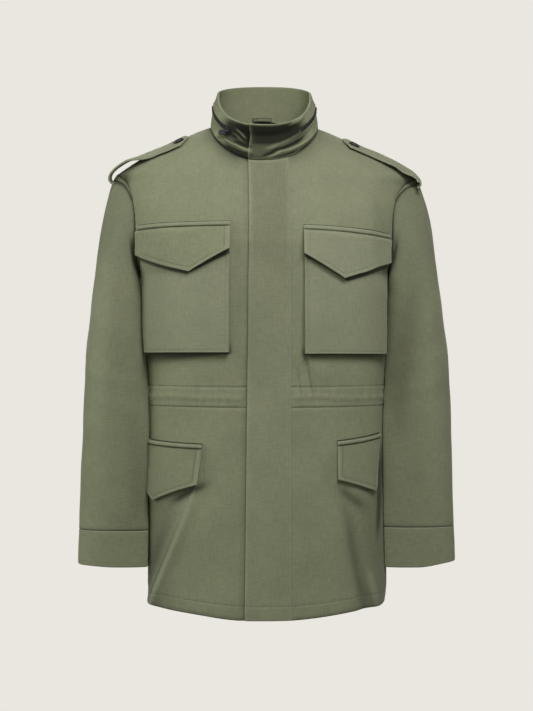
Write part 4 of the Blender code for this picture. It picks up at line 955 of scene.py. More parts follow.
COLLAR_CREASES = [  # each from (degrees round, share of the height) to another, its spread and rise in metres
    rows_of(FOLD, (a * COLLAR_ARC, b * COLLAR_HEIGHT[-1], c * COLLAR_ARC, d * COLLAR_HEIGHT[-1], *form))[0]
    for a, b, c, d, *form in (
        (1, 0.30, 12, 0.42, 0.0040, 0.0013),
        (10, 0.42, 40, 0.53, 0.0040, 0.0014),
        (0, 0.11, 12, 0.28, 0.0028, -0.0024),
        (10, 0.27, 58, 0.36, 0.0030, -0.0030),
        (2, 0.05, 14, 0.19, 0.0030, 0.0026),
        (13, 0.20, 62, 0.17, 0.0034, 0.0032),
        (10, 0.04, 30, 0.07, 0.0018, -0.0020),
        (27, 0.88, 50, 0.94, 0.0040, 0.0024),
        (-33, 0.74, -20, 0.57, 0.0022, 0.0036),
        (-36, 0.60, -24, 0.47, 0.0018, 0.0020),
        (-30, 0.37, -12, 0.35, 0.0030, -0.0030),
        (-43, 0.26, -26, 0.27, 0.0024, 0.0034),
        (-28, 0.27, -12, 0.23, 0.0026, 0.0036),
        (-38, 0.13, -12, 0.12, 0.0026, -0.0030),
        (-62, 0.12, -44, 0.22, 0.0050, 0.0010),
        (62, 0.14, 84, 0.24, 0.0060, 0.0012),
    )
]
COLLAR_STITCH = 0.93  # share of the height at which the upper row of stitches runs
LAP_STITCH = 0.0045  # from the collar's upper end
FRONT_SINK = 0.0125  # how far the collar's front sinks in between its seam and its edge
EDGE_ROLL = 0.0036
FOOT_SWELL = 0.0034


def collar_line(turn, up):
    """The collar's outer face: turn degrees round the neck from the front, up as a share of its height.
    Straight from the neck seam to the upper edge, with a slight bulge 4 up (1 - up)."""
    turn, up = np.broadcast_arrays(np.asarray(turn, float), np.asarray(up, float))
    s, c = neck_round(turn)
    low_z = np.where(c > 0, neck_level(turn, -1), neck_level(turn, 1)) + SEAM_GAP
    low_y = SHOULDER_SEAM_BACK - np.where(c > 0, NECK_DEPTH[-1], NECK_DEPTH[1]) * c
    top_y = SHOULDER_SEAM_BACK - np.where(c > 0, COLLAR_TOP_DEPTH[-1], COLLAR_TOP_DEPTH[1]) * c
    top_front = neck_level(np.array([0.0]), -1)[0] + COLLAR_HEIGHT[-1]
    top_back = neck_level(np.array([180.0]), 1)[0] + COLLAR_HEIGHT[1]
    top_z = COLLAR_HEIGHT[0] + np.where(c > 0, top_front - COLLAR_HEIGHT[0], COLLAR_HEIGHT[0] - top_back) * c
    bulge = 1 + COLLAR_BULGE / NECK_HALF * 4 * up * (1 - up)
    x = (NECK_HALF + (COLLAR_TOP_HALF - NECK_HALF) * up) * s * bulge
    y = SHOULDER_SEAM_BACK + (low_y + (top_y - low_y) * up - SHOULDER_SEAM_BACK) * bulge
    return np.stack((x, y, low_z + (top_z - low_z) * up), axis=-1)


def collar_out(turn, up):
    """The collar's outward direction: the cross product of its slopes round and up."""
    around = collar_line(turn + 1.0, up) - collar_line(turn - 1.0, up)
    rising = collar_line(turn, np.asarray(up) + 0.02) - collar_line(turn, np.asarray(up) - 0.02)
    normal = np.cross(around, rising)
    return normal / np.linalg.norm(normal, axis=-1, keepdims=True)


def from_front(turn):
    """Degrees round from the front, from -180 to 180."""
    return np.where(turn < -180, turn + 360, turn)


def collar_form(turn, up):
    """The collar's form at the front: a bell-shaped hollow, wider below than above, between a swelling above
    the seam and an edge that rolls forward."""
    around = from_front(turn)
    ahead, beside = soft_fall(np.abs(around), 24.0, 42.0), soft_fall(np.abs(around), 40.0, 85.0)
    hollow = bell(up - 0.66, np.where(up > 0.66, 0.17, 0.28)) * (1 + 0.10 * np.sin(around * 0.16 + 1))
    swell = np.where(around < -10, FOOT_SWELL, FOOT_SWELL / 2) * bell(up - 0.12, 0.07)
    return ahead * (EDGE_ROLL * soft_step(up, 0.86, 0.98) - FRONT_SINK * hollow) + beside * swell


def collar_relief(turn, up):
    """The collar's creases, measured in metres round and up."""
    x, z = from_front(turn) * COLLAR_ARC, up * COLLAR_HEIGHT[-1]
    return sum(ridge(crease, x, z, (-0.25, 0.3, 0.7, 1.25)) for crease in COLLAR_CREASES)


def zip_bed(turn, up):
    """The folds beside the zip and the channel between them, by their distance up the collar from it."""
    gap = (up - ZIP_HEIGHT) * COLLAR_HEIGHT[-1]
    start, end = ZIP_ENDS
    round_zip = soft_fall(turn, start - 2, start + 2) * soft_step(turn, end - 364, end - 360)
    rise = sum(high * bell(gap - at, wide) for high, at, wide in ZIP_FOLDS)
    return (rise - 0.0008 * soft_fall(np.abs(gap), 0.0032, 0.0042)) * round_zip


# A shaded copy of the same twill for the collar: less sheen and shine, and painted shade that can go deeper.
shaded_collar_twill = twill_finish("twill_in_the_collar", *TWILL, sheen=0.05, least=0.08, shine=0.12)

turn = graded(COLLAR_ENDS[1], COLLAR_ENDS[0], 2.0, fine=0.5)[None, ::-1]
up = graded(-0.030, 1.0, 0.022, (0.0, COLLAR_STITCH), fine=0.008)[:, None]
outward = unit(collar_out(turn, up) * (1, 1, 0))
around = from_front(turn)
creased = collar_relief(turn, up) * soft_step(up, 0.0, 0.08)
free = soft_fall(turn, COLLAR_ENDS[1], -350.0) * soft_step(up, 0.25, 0.8)
gape = bell(turn + 15, 6) * soft_step(up, 0.2, 0.5)
form = collar_form(turn, up) + 0.0040 * free - 0.0060 * gape
tucked = (CLOTH + 0.0008) * soft_fall(up, -0.014, 0.0)
under = (COLLAR_WALL + SEAM_GAP) * soft_step(turn, -40.0, -15.0)
base = collar_line(turn, up) + outward * (form - under - tucked)[..., None]
points = base + outward * (creased + zip_bed(turn, up))[..., None]
across, along = grid_lengths(points)
from_end = across[:, -1:] - across
low = soft_fall(up, 0.35, 0.75)
sewn = drawn_in(along - along[4], across, 0.0003, 0.005, 0.0)
sewn = sewn + drawn_in(along[-1] - along - 0.0040, across, 0.00016, 0.004, 0.0003)
sewn = sewn + drawn_in(from_end - LAP_STITCH, along, 0.0010, 0.004, 0.0004) * low * (turn < -340)
points = points + outward * sewn[..., None]
# Painted shade on the collar's front: deepest in its hollow, lighter on the creases' ridges and darker in
# their valleys, none at the top edge. foot is painted shadow along the neck seam below the collar's swelling,
# gap painted shade in the gape at the lap's edge.
front = soft_fall(np.abs(around + 1), 32.0, 60.0)
shade = front * (0.56 + 0.44 * np.exp(-(((up - 0.70) / 0.25) ** 4)) - 0.8 * creased / 0.0032)
shade = np.clip(1.25 * shade * soft_fall(up, 0.955, 0.985), 0, 1)
foot = soft_fall(around, -20.0, -8.0) * soft_step(around, -120.0, -60.0)
foot = (foot + soft_step(around, 32.0, 46.0) * soft_fall(around, 60.0, 120.0)) * bell(up, 0.065)
gap = bell(turn + 14.6, 2.4) * soft_step(up, 0.30, 0.5)
# The inner face takes back three quarters of the front's painted shade; the edges are rubbed pale.
collar = cloth(
    "collar_band", points, COLLAR_WALL, points * (1, 1, 0), shaded_collar_twill, roll=0.0011, inward=outward,
    inside=base, wear=-shade - foot - gap, edge_wear_and_shade=0.8, under=0.75 * shade,
)
dress(collar.piece, "collar")
upper_row, lap_column = nearest(up[:, 0], COLLAR_STITCH), nearest(from_end[20], LAP_STITCH)
seam_lines += [line_of(collar, row=upper_row), line_of(collar, column=lap_column, start=4, stop=upper_row)]

LOOP_SPAN = (-0.0185, 0.0115)
LOOP_LEVELS = (0.0175, 0.0240)
LOOP_WALL = 0.0015
LOOP_STAND = 0.0065

share = graded(0.0, 1.0, 0.03, fine=0.012)
x = mix(*LOOP_SPAN, share)
neck_share = (1 - ((np.abs(x) + 0.009) / NECK_HALF) ** NECK_POWER) ** (1 / NECK_POWER)
y = SHOULDER_SEAM_BACK + NECK_DEPTH[1] * neck_share - COLLAR_WALL - 0.0012
y = y - LOOP_STAND * 4 * share * (1 - share)
levels = graded(*LOOP_LEVELS, 0.0009, fine=0.0003)[:, None]
points = np.stack((x + 0 * levels, y + 0 * levels, levels + 0 * x), axis=-1)
# Painted shade lines along its edges.
loop = cloth("hanger_loop_strip", points, LOOP_WALL, (0, 1, 0), twill, roll=0.0004, edge_wear_and_shade=-0.9)
dress(loop.piece, "hanger_loop")

# ---------------------------------------------------------------- the collar's zip, its slider and its pull
# A coil zip closes the hood's pocket: two woven polyester tapes with a moulded coil between them, and a
# die-cast slider, blackened, with a pressed tab that turns on the slider's bridge.


def grained_finish(name, grain, dark, pale, bump, roughness, specular=0.5, metallic=0.0):
    """A colour between a dark and a pale one, as the grain says, which also raises the surface by the bump's
    strength and distance. The grain is a texture, its coordinates, its scale and more of its values. The
    roughness is a number, or the two that the grain mixes it from."""
    made, tree, shader = new_finish(name)
    kind, coordinate, scale, more = grain
    place = add_node(tree, "ShaderNodeTexCoord").outputs[coordinate]
    grain = add_node(tree, kind, None, {"Vector": place, "Scale": scale, **more}).outputs["Fac"]
    tree.links.new(mixed(tree, grain, colour(dark), colour(pale)), shader.inputs["Base Color"])
    shader.inputs["Specular IOR Level"].default_value = specular
    shader.inputs["Metallic"].default_value = metallic
    if isinstance(roughness, tuple):
        tree.links.new(spread(tree, grain, 0.0, 1.0, *roughness), shader.inputs["Roughness"])
    else:
        shader.inputs["Roughness"].default_value = roughness
    raise_surface(tree, shader, grain, *bump)
    return made


def run_of(points):
    """Running length along a row of points."""
    return np.concatenate(((0,), np.cumsum(np.linalg.norm(np.diff(points, axis=0), axis=-1))))


def at_run(at, run, values):
    """Points or directions of a row at other running lengths."""
    return np.stack([np.interp(at, run, column) for column in values.T], axis=-1)


LOZENGE = np.array(((0, 3, 4), (3, 1, 4), (1, 2, 4), (2, 0, 4), (3, 0, 5), (1, 3, 5), (2, 1, 5), (0, 2, 5)))


def thread(name, lines, finish, pitch=0.0031, long=0.0025, wide=0.00062, sink=0.00005):
    """Rows of stitches: along each line of (points, normals) a lozenge of six points for every stitch."""
    places = []
    for points, normals in lines:
        run = run_of(points)
        middle = np.arange(pitch, run[-1] - pitch / 2, pitch)
        start, here, end = [at_run(middle + d, run, points) for d in (-long / 2, 0, long / 2)]
        out = at_run(middle, run, normals)
        beside = unit(np.cross(unit(end - start), out)) * wide / 2
        top, below = here + out * (wide * 0.62 - sink), here - out * wide / 2
        six = (start - out * sink, end - out * sink, here + beside, here - beside, top, below)
        places.append(np.stack(six, axis=1))
    places = np.concatenate(places)
    faces = (np.arange(len(places))[:, None, None] * 6 + LOZENGE).reshape(-1, 3)
    return add_mesh(name, places, faces.tolist(), finish)


# Woven polyester tape, spun-dyed near black: matt, with a fine rib across it every 0.9 mm.
tape = grained_finish(
    "woven_polyester_tape", ("ShaderNodeTexWave", "UV", 350.0, {"Distortion": 0.4}), "#191A19", "#292A28",
    bump=(0.5, 0.0003), roughness=0.72, specular=0.30,
)
# Zinc alloy, die-cast and blackened: satin, rubbed a little brighter where hands touch it.
black_metal = grained_finish(
    "blackened_die_cast_zinc", ("ShaderNodeTexNoise", "Object", 900.0, {"Detail": 2.0}), "#0E0E0F", "#242427",
    bump=(0.2, 0.0001), roughness=(0.28, 0.46), metallic=0.85,
)

ZIP_WIDTH = 0.007
turn = np.linspace(ZIP_ENDS[0], ZIP_ENDS[1] - 360, 180)[None, :]
across_zip = np.linspace(-1, 1, 9)[:, None]
up = ZIP_HEIGHT + across_zip * ZIP_WIDTH / COLLAR_HEIGHT[-1] / 2
stand = 0.0012 + 0.0004 * bell(across_zip, 0.28)
points = collar_line(turn, up) + collar_out(turn, up) * stand[..., None]
zip_tape = cloth("collar_zip_tape", points, 0.0012, points * (1, 1, 0), tape, roll=0.0003)
dress(zip_tape.piece, "collar_zip", slot="zip_tape")

middle, out = zip_tape.points[4], zip_tape.normals[4]
coil_line = [(middle + out * 0.0002, out)]
coil = thread("collar_zip_coil", coil_line, tape, pitch=0.0016, long=0.0014, wide=0.0026, sink=0.0003)
dress(coil, slot="zip_tape")

for node in ("zip_slider", "zip_pull"):
    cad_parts[node].data.materials[0] = black_metal

# ---------------------------------------------------------------- chest pockets
# Bellows bags: a face of one ply, its sides and bottom turned in to a narrow pleat, sewn to the front.

CHEST_POCKETS = rows_of(  # lee, below the flap's inner corner, point and outer corner, is how deep the painted shadow is
    "side inner outer top_inner top_outer bottom outer_low lee",
    ("right", 0.0555, 0.1942, -0.1640, -0.1665, -0.3600, 0.1788, (0.0104, 0.0062, 0.0074)),
    ("left", 0.0570, 0.1850, -0.1695, -0.1790, -0.3620, 0.1750, (0.0064, 0.0066, 0.0090)),
)
POCKET_DEPTH = (0.0045, 0.0125)  # at the bag's top and bottom
# Each flap's own painted light lightens it where above 0 and shades it where below 0.
FLAPS = rows_of(  # lift is how far the inner corner, the point and the outer corner curl off what lies under
    "name side inner outer top_inner top_outer drop_inner drop_tip drop_outer tip slant_in slant_out wear "
    "lift flat area",
    ("chest", "right", 0.0545, 0.1975, -0.1630, -0.1650, 0.041, 0.074, 0.0425, 0.29, 0.0, 0.0050, 0.0,
     (0.0085, 0.0040, 0.0030), (0.165, 0.085), 0.0120),
    ("chest", "left", 0.0560, 0.1885, -0.1685, -0.1780, 0.043, 0.0765, 0.0395, 0.34, 0.0, 0.0080, 0.55,
     (0.0050, 0.0060, 0.0070), (0.157, 0.087), 0.0115),
    ("lower", "right", 0.0972, 0.1815, -0.5000, -0.4950, 0.0610, 0.0928, 0.0790, 0.77, 0.0060, 0.0, -0.10,
     (0.0042, 0.0026, 0.0022), (0.110, 0.105), 0.0102),
    ("lower", "left", 0.1068, 0.1735, -0.4952, -0.4850, 0.0580, 0.0876, 0.0790, 0.94, 0.0, 0.0085, -0.06,
     (0.0028, 0.0030, 0.0036), (0.083, 0.098), 0.0069),
)
BAG_STITCH = 0.0035  # from the bag's edge
BAG_TUCK = 0.0022  # how deep the pleat runs in under the bag's edge
BAG_FULL = 0.0011
BAG_BELOW_RIDGE = 0.013
LAY_GAP = 0.0012
WALL_STEPS = np.array((0.0, 0.25, 0.5, 0.75, 0.93))
SIDE = {"right": -1, "left": 1}


def turn_of(x, z):
    """Angle round the body's section at a distance x from the middle."""
    part = np.clip(section_share(z, -1) * x / smooth(BODY, "half_width", z), 0, 1)
    return np.arcsin(part ** (SECTION_POWER / 2))


def across_front(inner, outer, share, z):
    """x between two distances from the middle, in even angles round the body's section."""
    turn = turn_of(inner, z) * (1 - share) + turn_of(outer, z) * share
    return smooth(BODY, "half_width", z) / section_share(z, -1) * np.sin(turn) ** (2 / SECTION_POWER)


def bag_depth(pocket, z, share):
    """How far the bag's face stands out at a level: from its top depth to its bottom depth by a soft step."""
    top = mix(pocket.top_inner, pocket.top_outer, share)
    return mix(*POCKET_DEPTH, soft_step((top - z) / (top - pocket.bottom), 0.0, 1.0))


def before_pull(x, z):
    """The x on the chest that side_pull brings to x, by repeating x + pull three times."""
    start = x
    for _ in range(3):
        start = x + side_pull(start, -0.1, z)
    return start


def along_flap(flap, share, values):
    """A flap's value between its inner corner, its point and its outer corner."""
    return np.interp(share, (0, flap.tip, 1), values)


pocket_lines = []
for pocket, flap in zip(CHEST_POCKETS, FLAPS):
    side = SIDE[pocket.side]
    width, height = pocket.outer - pocket.inner, pocket.top_inner - BAG_BELOW_RIDGE - pocket.bottom
    face_share = graded(0.0, width, 0.0018, (BAG_STITCH, width - BAG_STITCH)) / width
    face_row = graded(0.0, height, 0.0018, (height - BAG_STITCH,)) / height
    columns = np.concatenate((0 * WALL_STEPS, face_share, 0 * WALL_STEPS + 1))[None, :]
    rows = np.concatenate((face_row, 0 * WALL_STEPS + 1))[:, None]
    lift_column = np.concatenate((WALL_STEPS, np.ones(len(face_share)), WALL_STEPS[::-1]))[None, :]
    lift_row = np.concatenate((np.ones(len(face_row)), WALL_STEPS[::-1]))[:, None]
    tuck = np.sin(lift_column * math.pi) * (lift_column < 1) + np.sin(lift_row * math.pi) * (lift_row < 1)
    tuck = BAG_TUCK * tuck
    shift = np.where(lift_column < 1, np.sign(0.5 - columns), 0.0) * tuck / width
    top = mix(pocket.top_inner, pocket.top_outer, columns) - BAG_BELOW_RIDGE
    z = mix(top, pocket.bottom, rows) + tuck * (lift_row < 1)
    x = side * across_front(pocket.inner, mix(pocket.outer, pocket.outer_low, rows), columns + shift, z)
    gap_column, gap_row = np.minimum(columns, 1 - columns) * width, (1 - rows) * height
    full = BAG_FULL * np.sin(columns * math.pi) * np.sin(np.clip(rows, 0, 1) * math.pi) ** 0.7
    along_edge = np.where(gap_column < gap_row, z, x)
    sewn = drawn_in(np.minimum(gap_column, gap_row) - BAG_STITCH, along_edge, 0.00016, 0.005, 0.0004)
    depth = LAY_GAP + (bag_depth(pocket, z, columns) + full + sewn - LAY_GAP) * lift_column * lift_row
    points = body(before_pull(x, z), z, -1, depth)
    inner_turn, outer_turn = turn_of(flap.inner, z), turn_of(flap.outer, z)
    flap_share = np.clip((turn_of(np.abs(x), z) - inner_turn) / (outer_turn - inner_turn), 0, 1)
    edge = mix(flap.top_inner, flap.top_outer, flap_share)
    edge = edge - along_flap(flap, flap_share, (flap.drop_inner, flap.drop_tip, flap.drop_outer))
    thick = along_flap(flap, flap_share, pocket.lee)
    # Painted lighter all over, with painted shadow under the flap's edge, as deep as the pocket's lee says.
    bag = cloth(
        f"chest_pocket_{pocket.side}_bag", points, CLOTH * 0.8, (0, -1, 0), twill, roll=0.0004,
        wear=0.45 - 1.40 * soft_step(z, edge - thick, edge - 0.50 * thick),
    )
    dress(bag.piece, f"chest_pocket_{pocket.side}")
    inset, low = nearest(face_share * width, BAG_STITCH), nearest(face_row * height, height - BAG_STITCH)
    first, last = len(WALL_STEPS) + inset, len(WALL_STEPS) + len(face_share) - inset
    pocket_lines.append(line_of(bag, row=low, start=first, stop=last))
    pocket_lines += [line_of(bag, column=column, stop=low + 1) for column in (first, last - 1)]

# ---------------------------------------------------------------- pocket flaps
# Pointed flaps of two plies, turned and stitched round the edge, sewn down under a folded band. The chest
# flaps lie on their bags and the lower ones, of pockets set inside, on the fronts.


FLAP_WALL = 0.0026
SEAM_SHADE = 0.0016  # a fold of the flap, painted dark, that shows as a painted shade line over its band
RIDGE_HEIGHT = 0.0058
RIDGE_WIDTH = 0.0062
RIDGE_START = 0.0026
FLAP_CLEAR = 0.0019
EDGE_STITCH = 0.0052  # from the flap's edge
STITCH_SHADE = {"chest": 0.20, "lower": 0.28}  # how dark the painted shade along the row of stitches is
TOP_SHADE = {"chest": 2.0, "lower": 1.3}  # and the painted shade line of the fold above the band

bags = {pocket.side: pocket for pocket in CHEST_POCKETS}
for flap in FLAPS:
    side, name = SIDE[flap.side], flap.name
    width = flap.outer - flap.inner
    share = graded(0.0, width, 0.0026, (EDGE_STITCH, flap.tip * width, width - EDGE_STITCH))[None, :] / width
    drop = along_flap(flap, share, (flap.drop_inner, flap.drop_tip, flap.drop_outer))
    band = RIDGE_WIDTH * (1 - np.cos(np.linspace(0, math.pi, 13))) / 2
    band = np.concatenate(((-SEAM_SHADE, -SEAM_SHADE / 2), band))
    start = RIDGE_WIDTH + 0.0012
    stitch_row = 1 - EDGE_STITCH / (drop.mean() - start)
    below = graded(0.0, 1.0, 0.045, (stitch_row,), fine=0.012)
    fallen = np.concatenate((band[:, None] + 0 * share, mix(start, drop, below[:, None])))
    z = mix(flap.top_inner, flap.top_outer, share) - fallen
    part = np.clip((fallen - start) / (drop - start), 0, 1)
    x = across_front(flap.inner + flap.slant_in * part, flap.outer - flap.slant_out * part, share, z)
    x = before_pull(side * x, z)
    curl = along_flap(flap, share, flap.lift) * part**1.8 + 0.0006 * np.sin(share * 7 + 1) * part
    face = FLAP_CLEAR + FLAP_WALL + curl
    if name == "chest":
        face = face + bag_depth(bags[flap.side], z, share) + BAG_FULL * np.sin(share * math.pi) * part
    edge_gap = np.minimum(np.minimum(share, 1 - share) * width, (drop - fallen) * 0.9)
    face = face + drawn_in(edge_gap - EDGE_STITCH, x + z, 0.00012, 0.004, 0.00045)
    rounded = (1 - np.abs(2 * np.clip(fallen / RIDGE_WIDTH, 0, 1) - 1) ** 3) ** (1 / 3)
    ridge_out = mix(RIDGE_START, RIDGE_HEIGHT + 0.0003 * np.sin(share * 19), rounded)
    blend = soft_step(fallen, RIDGE_WIDTH, RIDGE_WIDTH + 0.0045)
    depth = np.where(fallen <= RIDGE_WIDTH, ridge_out, np.maximum(0.0030, mix(0.0042, face, blend)))
    inward = body_normal(x, body_y(x, z, -1), z, -1)
    # Painted shade lines above the band, below its ridge and along the row of stitches.
    crease = TOP_SHADE[name] * (fallen < 0.0004) + bell(fallen - RIDGE_WIDTH - 0.0008, 0.0009)
    sewn = bell(edge_gap - EDGE_STITCH, 0.0007) * (fallen > RIDGE_WIDTH + 0.002)
    crease = crease + STITCH_SHADE[name] / 1.6 * (sewn - 0.4 * soft_fall(edge_gap, 0.0034, 0.0042))
    # The band's ridge gets a painted highlight.
    made = cloth(
        f"{name}_flap_{flap.side}_plies", body(x, z, -1, depth), 0.0024, (0, -1, 0), twill, roll=0.0008,
        inward=inward, wear=flap.wear + 0.60 * rounded * (fallen <= RIDGE_WIDTH) - 1.6 * crease,
    )
    dress(made.piece, f"{name}_flap_{flap.side}")
    low, inset = len(band) + nearest(below, stitch_row), nearest(share[0] * width, EDGE_STITCH)
    last = share.shape[1] - inset
    pocket_lines.append(line_of(made, row=low, start=inset, stop=last))
    pocket_lines += [line_of(made, column=k, start=len(band) + 1, stop=low + 1) for k in (inset, last - 1)]
seam_lines += pocket_lines

# ---------------------------------------------------------------- shoulder straps and their buttons
# Straps of two plies, sewn into the gusset's seam, with a blunt point that buttons down near the collar. The
# buttons are moulded melamine with a rim and four holes, sewn on with thread.


STRAP_ON = (0.122, 0.139, 0.156, 0.174, 0.192, 0.204)  # distances from the middle on the shoulder
STRAP_OFF = {  # (distance, level) past the shoulder: the right strap stands off it, the left one lies closer
    -1: (
        (0.2205, -0.0530),
        (0.2340, -0.0610),
        (0.2435, -0.0695),
        (0.2475, -0.0770),
        (0.2468, -0.0830),
        (0.2420, -0.0872),
    ),
    1: (
        (0.2205, -0.0567),
        (0.2330, -0.0650),
        (0.2396, -0.0715),
        (0.2437, -0.0768),
        (0.2440, -0.0808),
        (0.2408, -0.0838),
    ),
}
STRAP_WALL = 0.003
STRAP_HALF_WIDTH = 0.0235
STRAP_MIDDLE = -0.017
STRAP_BEND_LIMIT = 0.180
STRAP_FLAT = {-1: (0.176, 0.226), 1: (0.208, 0.244)}  # where the straps lose most of the shoulder's bend
STRAP_STIFF = {-1: 0.66, 1: 0.46}
STRAP_LIFT = {-1: 0.0024, 1: 0.0036}  # how far the strap's front edge stands off the shoulder
STRAP_TIP = 0.012
STRAP_STITCH = 0.0045
BUTTON_ACROSS = 0.139
BUTTON_AHEAD = 0.008  # the strap has slid forward round the shoulder, and its button with it
BUTTON_LEAN = 0.34
BUTTON_RADIUS = 0.0088
BUTTON_HEIGHT = 0.0030
BUTTON_DISH = 0.0014  # how far its middle lies below its rim
BUTTON_BACK = ((0, 0.0003), (0.70, 0.0003), (0.92, 0.0007), (1, 0.0014))  # share of the radius, and height
BUTTON_FRONT = (  # share of the radius, and depth below the rim
    (1, 0.0009), (0.965, 0.0003), (0.90, 0), (0.80, 0.0002), (0.70, 0.0011),
    (0.45, BUTTON_DISH), (0, BUTTON_DISH),
)
BUTTON_THREAD = (0.0011, 0.0019)  # half the distance between its two bars of thread, and half their length


def strap_drop(across, y, side):
    """How far the strap falls away from the shoulder's crest at y."""
    kept = 1 - STRAP_STIFF[side] * soft_step(across, *STRAP_FLAT[side])
    across = np.minimum(across, STRAP_BEND_LIMIT)
    drops = []
    for face in (-1, 1):
        full = full_depth(across, np.full_like(across, -0.05), face)
        part = np.clip(np.abs(y - SHOULDER_SEAM_BACK) / full, 0, 1)
        drops.append(crest(across, face) - below_crest(across, part, face))
    return np.where(y < SHOULDER_SEAM_BACK, drops[0], drops[1]) * kept


def strap_line(count, side):
    """(across, level) of the strap's underside in even steps from its tip to its root, and their lengths: a
    smooth curve of Catmull-Rom cubics through its rows."""
    on = np.array(STRAP_ON)
    lying = np.stack((on, crest(on, -1) + SEAM_GAP + 0.0007), axis=-1)
    lying[:, 1] += 0.004 * soft_step(on, STRAP_ON[-3], STRAP_ON[-1] + 0.02)
    rows = np.concatenate((lying, np.array(STRAP_OFF[side]) - (0, STRAP_WALL / 2)))
    padded = np.concatenate((2 * rows[:1] - rows[1:2], rows, 2 * rows[-1:] - rows[-2:-1]))
    at = np.linspace(0, len(rows) - 1, 400)
    k = np.minimum(at.astype(int), len(rows) - 2)
    t = (at - k)[:, None]
    a, b, c, d = padded[k], padded[k + 1], padded[k + 2], padded[k + 3]
    line = b + 0.5 * t * (c - a + t * (2 * a - 5 * b + 4 * c - d + t * (3 * (b - c) + d - a)))
    run = run_of(line)
    even = np.linspace(0, run[-1], count)
    return at_run(even, run, line), even


# Melamine, moulded and tumbled: near black, satin, with a faint mottle.
melamine = grained_finish(
    "moulded_melamine", ("ShaderNodeTexNoise", "Object", 420.0, {"Detail": 3.0}), "#10110F", "#1A1C18",
    bump=(0.15, 0.0001), roughness=0.48, specular=0.22,
)


def turned(name, profile, centre, out, ahead, finish, count=48):
    """A round closed shape: a profile of (radius, height) turned about out, its first and last radii 0."""
    angle = np.arange(count) / count * 2 * math.pi
    spokes = np.cos(angle)[:, None] * ahead + np.sin(angle)[:, None] * np.cross(out, ahead)
    radius, height = np.array(profile[1:-1]).T
    rings = centre + radius[:, None, None] * spokes + height[:, None, None] * out
    poles = centre + np.array([profile[0][1], profile[-1][1]])[:, None] * out
    places = np.concatenate((rings.reshape(-1, 3), poles))
    k = np.arange(count)
    n = (k + 1) % count
    step = np.arange(len(radius) - 1)[:, None] * count
    quads = np.stack((step + k, step + n, step + count + n, step + count + k), -1).reshape(-1, 4).tolist()
    first, last = len(places) - 2 + 0 * k, (len(radius) - 1) * count
    caps = np.concatenate((np.stack((first, n, k), -1), np.stack((first + 1, last + k, last + n), -1)))
    return add_mesh(name, places, quads + caps.tolist(), finish)


strap_lines = []
for side, name in ((-1, "right"), (1, "left")):
    mirror = np.array((side, 1, 1))
    line, run = strap_line(75, side)
    width = 2 * STRAP_HALF_WIDTH
    width_share = graded(0.0, width, 0.0026, (STRAP_STITCH, width - STRAP_STITCH))[:, None]
    width_share = width_share / STRAP_HALF_WIDTH - 1
    cut_back = STRAP_TIP * np.abs(width_share) ** 1.3
    at = mix(cut_back, run[-1], graded(0.0, run[-1], 0.0026, (STRAP_STITCH,)) / run[-1])
    across, level = np.moveaxis(at_run(at, run, line), -1, 0)
    y = STRAP_MIDDLE + STRAP_HALF_WIDTH * width_share + 0 * at
    slope = at_run(at, run, unit(np.gradient(line, axis=0)))
    up = np.stack((-slope[..., 1], 0 * at, slope[..., 0]), axis=-1)
    lifted = STRAP_LIFT[side] * soft_fall(width_share, -1.0, -0.2) * soft_fall(at, 0.085, 0.115)
    under = np.stack((across, y, level - strap_drop(across, y, side) + lifted), axis=-1)
    edge_gap = np.minimum((1 - np.abs(width_share)) * STRAP_HALF_WIDTH, at - cut_back)
    soft = 0.0004 * np.sin(at * 90 + 2 * width_share + side) * soft_step(at, 0.01, 0.05)
    out = STRAP_WALL + soft + drawn_in(edge_gap - STRAP_STITCH, at, 0.00010, 0.004, 0.00035)
    points = (under + up * out[..., None]) * mirror
    # The strap's underside gets painted shade; its edges are rubbed pale.
    strap = cloth(
        f"epaulette_{name}_strap", points, STRAP_WALL, (0, 0, 1), twill, roll=0.0009, inward=up * mirror,
        under=-0.9,
    )
    dress(strap.piece, f"epaulette_{name}")
    near = nearest(width_share[:, 0] + 1, STRAP_STITCH / STRAP_HALF_WIDTH)
    tip_column = nearest(at[0] - cut_back[0], STRAP_STITCH)
    strap_lines += [line_of(strap, row=row, start=tip_column, stop=-1) for row in (near, -1 - near)]
    strap_lines.append(line_of(strap, column=tip_column, start=near, stop=len(width_share) - near))

    here = np.array((side * BUTTON_ACROSS, STRAP_MIDDLE - BUTTON_AHEAD))
    gone = np.linalg.norm(strap.points[..., :2] - here, axis=-1)
    place = np.unravel_index(np.argmin(gone), gone.shape)
    seat, out = strap.points[place], np.sign(strap.normals[place][2]) * strap.normals[place]
    out = unit(out - (0, BUTTON_LEAN, 0))
    ahead = unit(np.cross(np.cross(out, (1.0, 0, 0)), out))
    radius, height = BUTTON_RADIUS, BUTTON_HEIGHT
    profile = [(radius * share, high) for share, high in BUTTON_BACK]
    profile += [(radius * share, height - low) for share, low in BUTTON_FRONT]
    button = turned(f"epaulette_button_{name}_melamine", profile, seat, out, ahead, melamine)
    dress(button, f"epaulette_button_{name}", slot="moulded_button")
    bars = []
    apart, half = BUTTON_THREAD
    for shift in (-apart, apart):
        start = seat + out * (height - BUTTON_DISH) + np.cross(out, ahead) * shift
        ends = start + ahead * np.linspace(-half, half, 7)[:, None]
        bars.append((ends, np.broadcast_to(out, ends.shape)))
    sewn_on = f"epaulette_button_{name}_thread"
    dress(thread(sewn_on, bars, shaded_sewing_thread, pitch=0.0019, long=0.0030, wide=0.0009))
seam_lines += strap_lines

# ---------------------------------------------------------------- the sewing
# Core-spun thread of the cloth's own colour, drawn darker as painted shade of its grooves, about eight
# stitches to 25 mm, through every hem, edge and seam.

dress(thread("topstitching", seam_lines, shaded_sewing_thread))

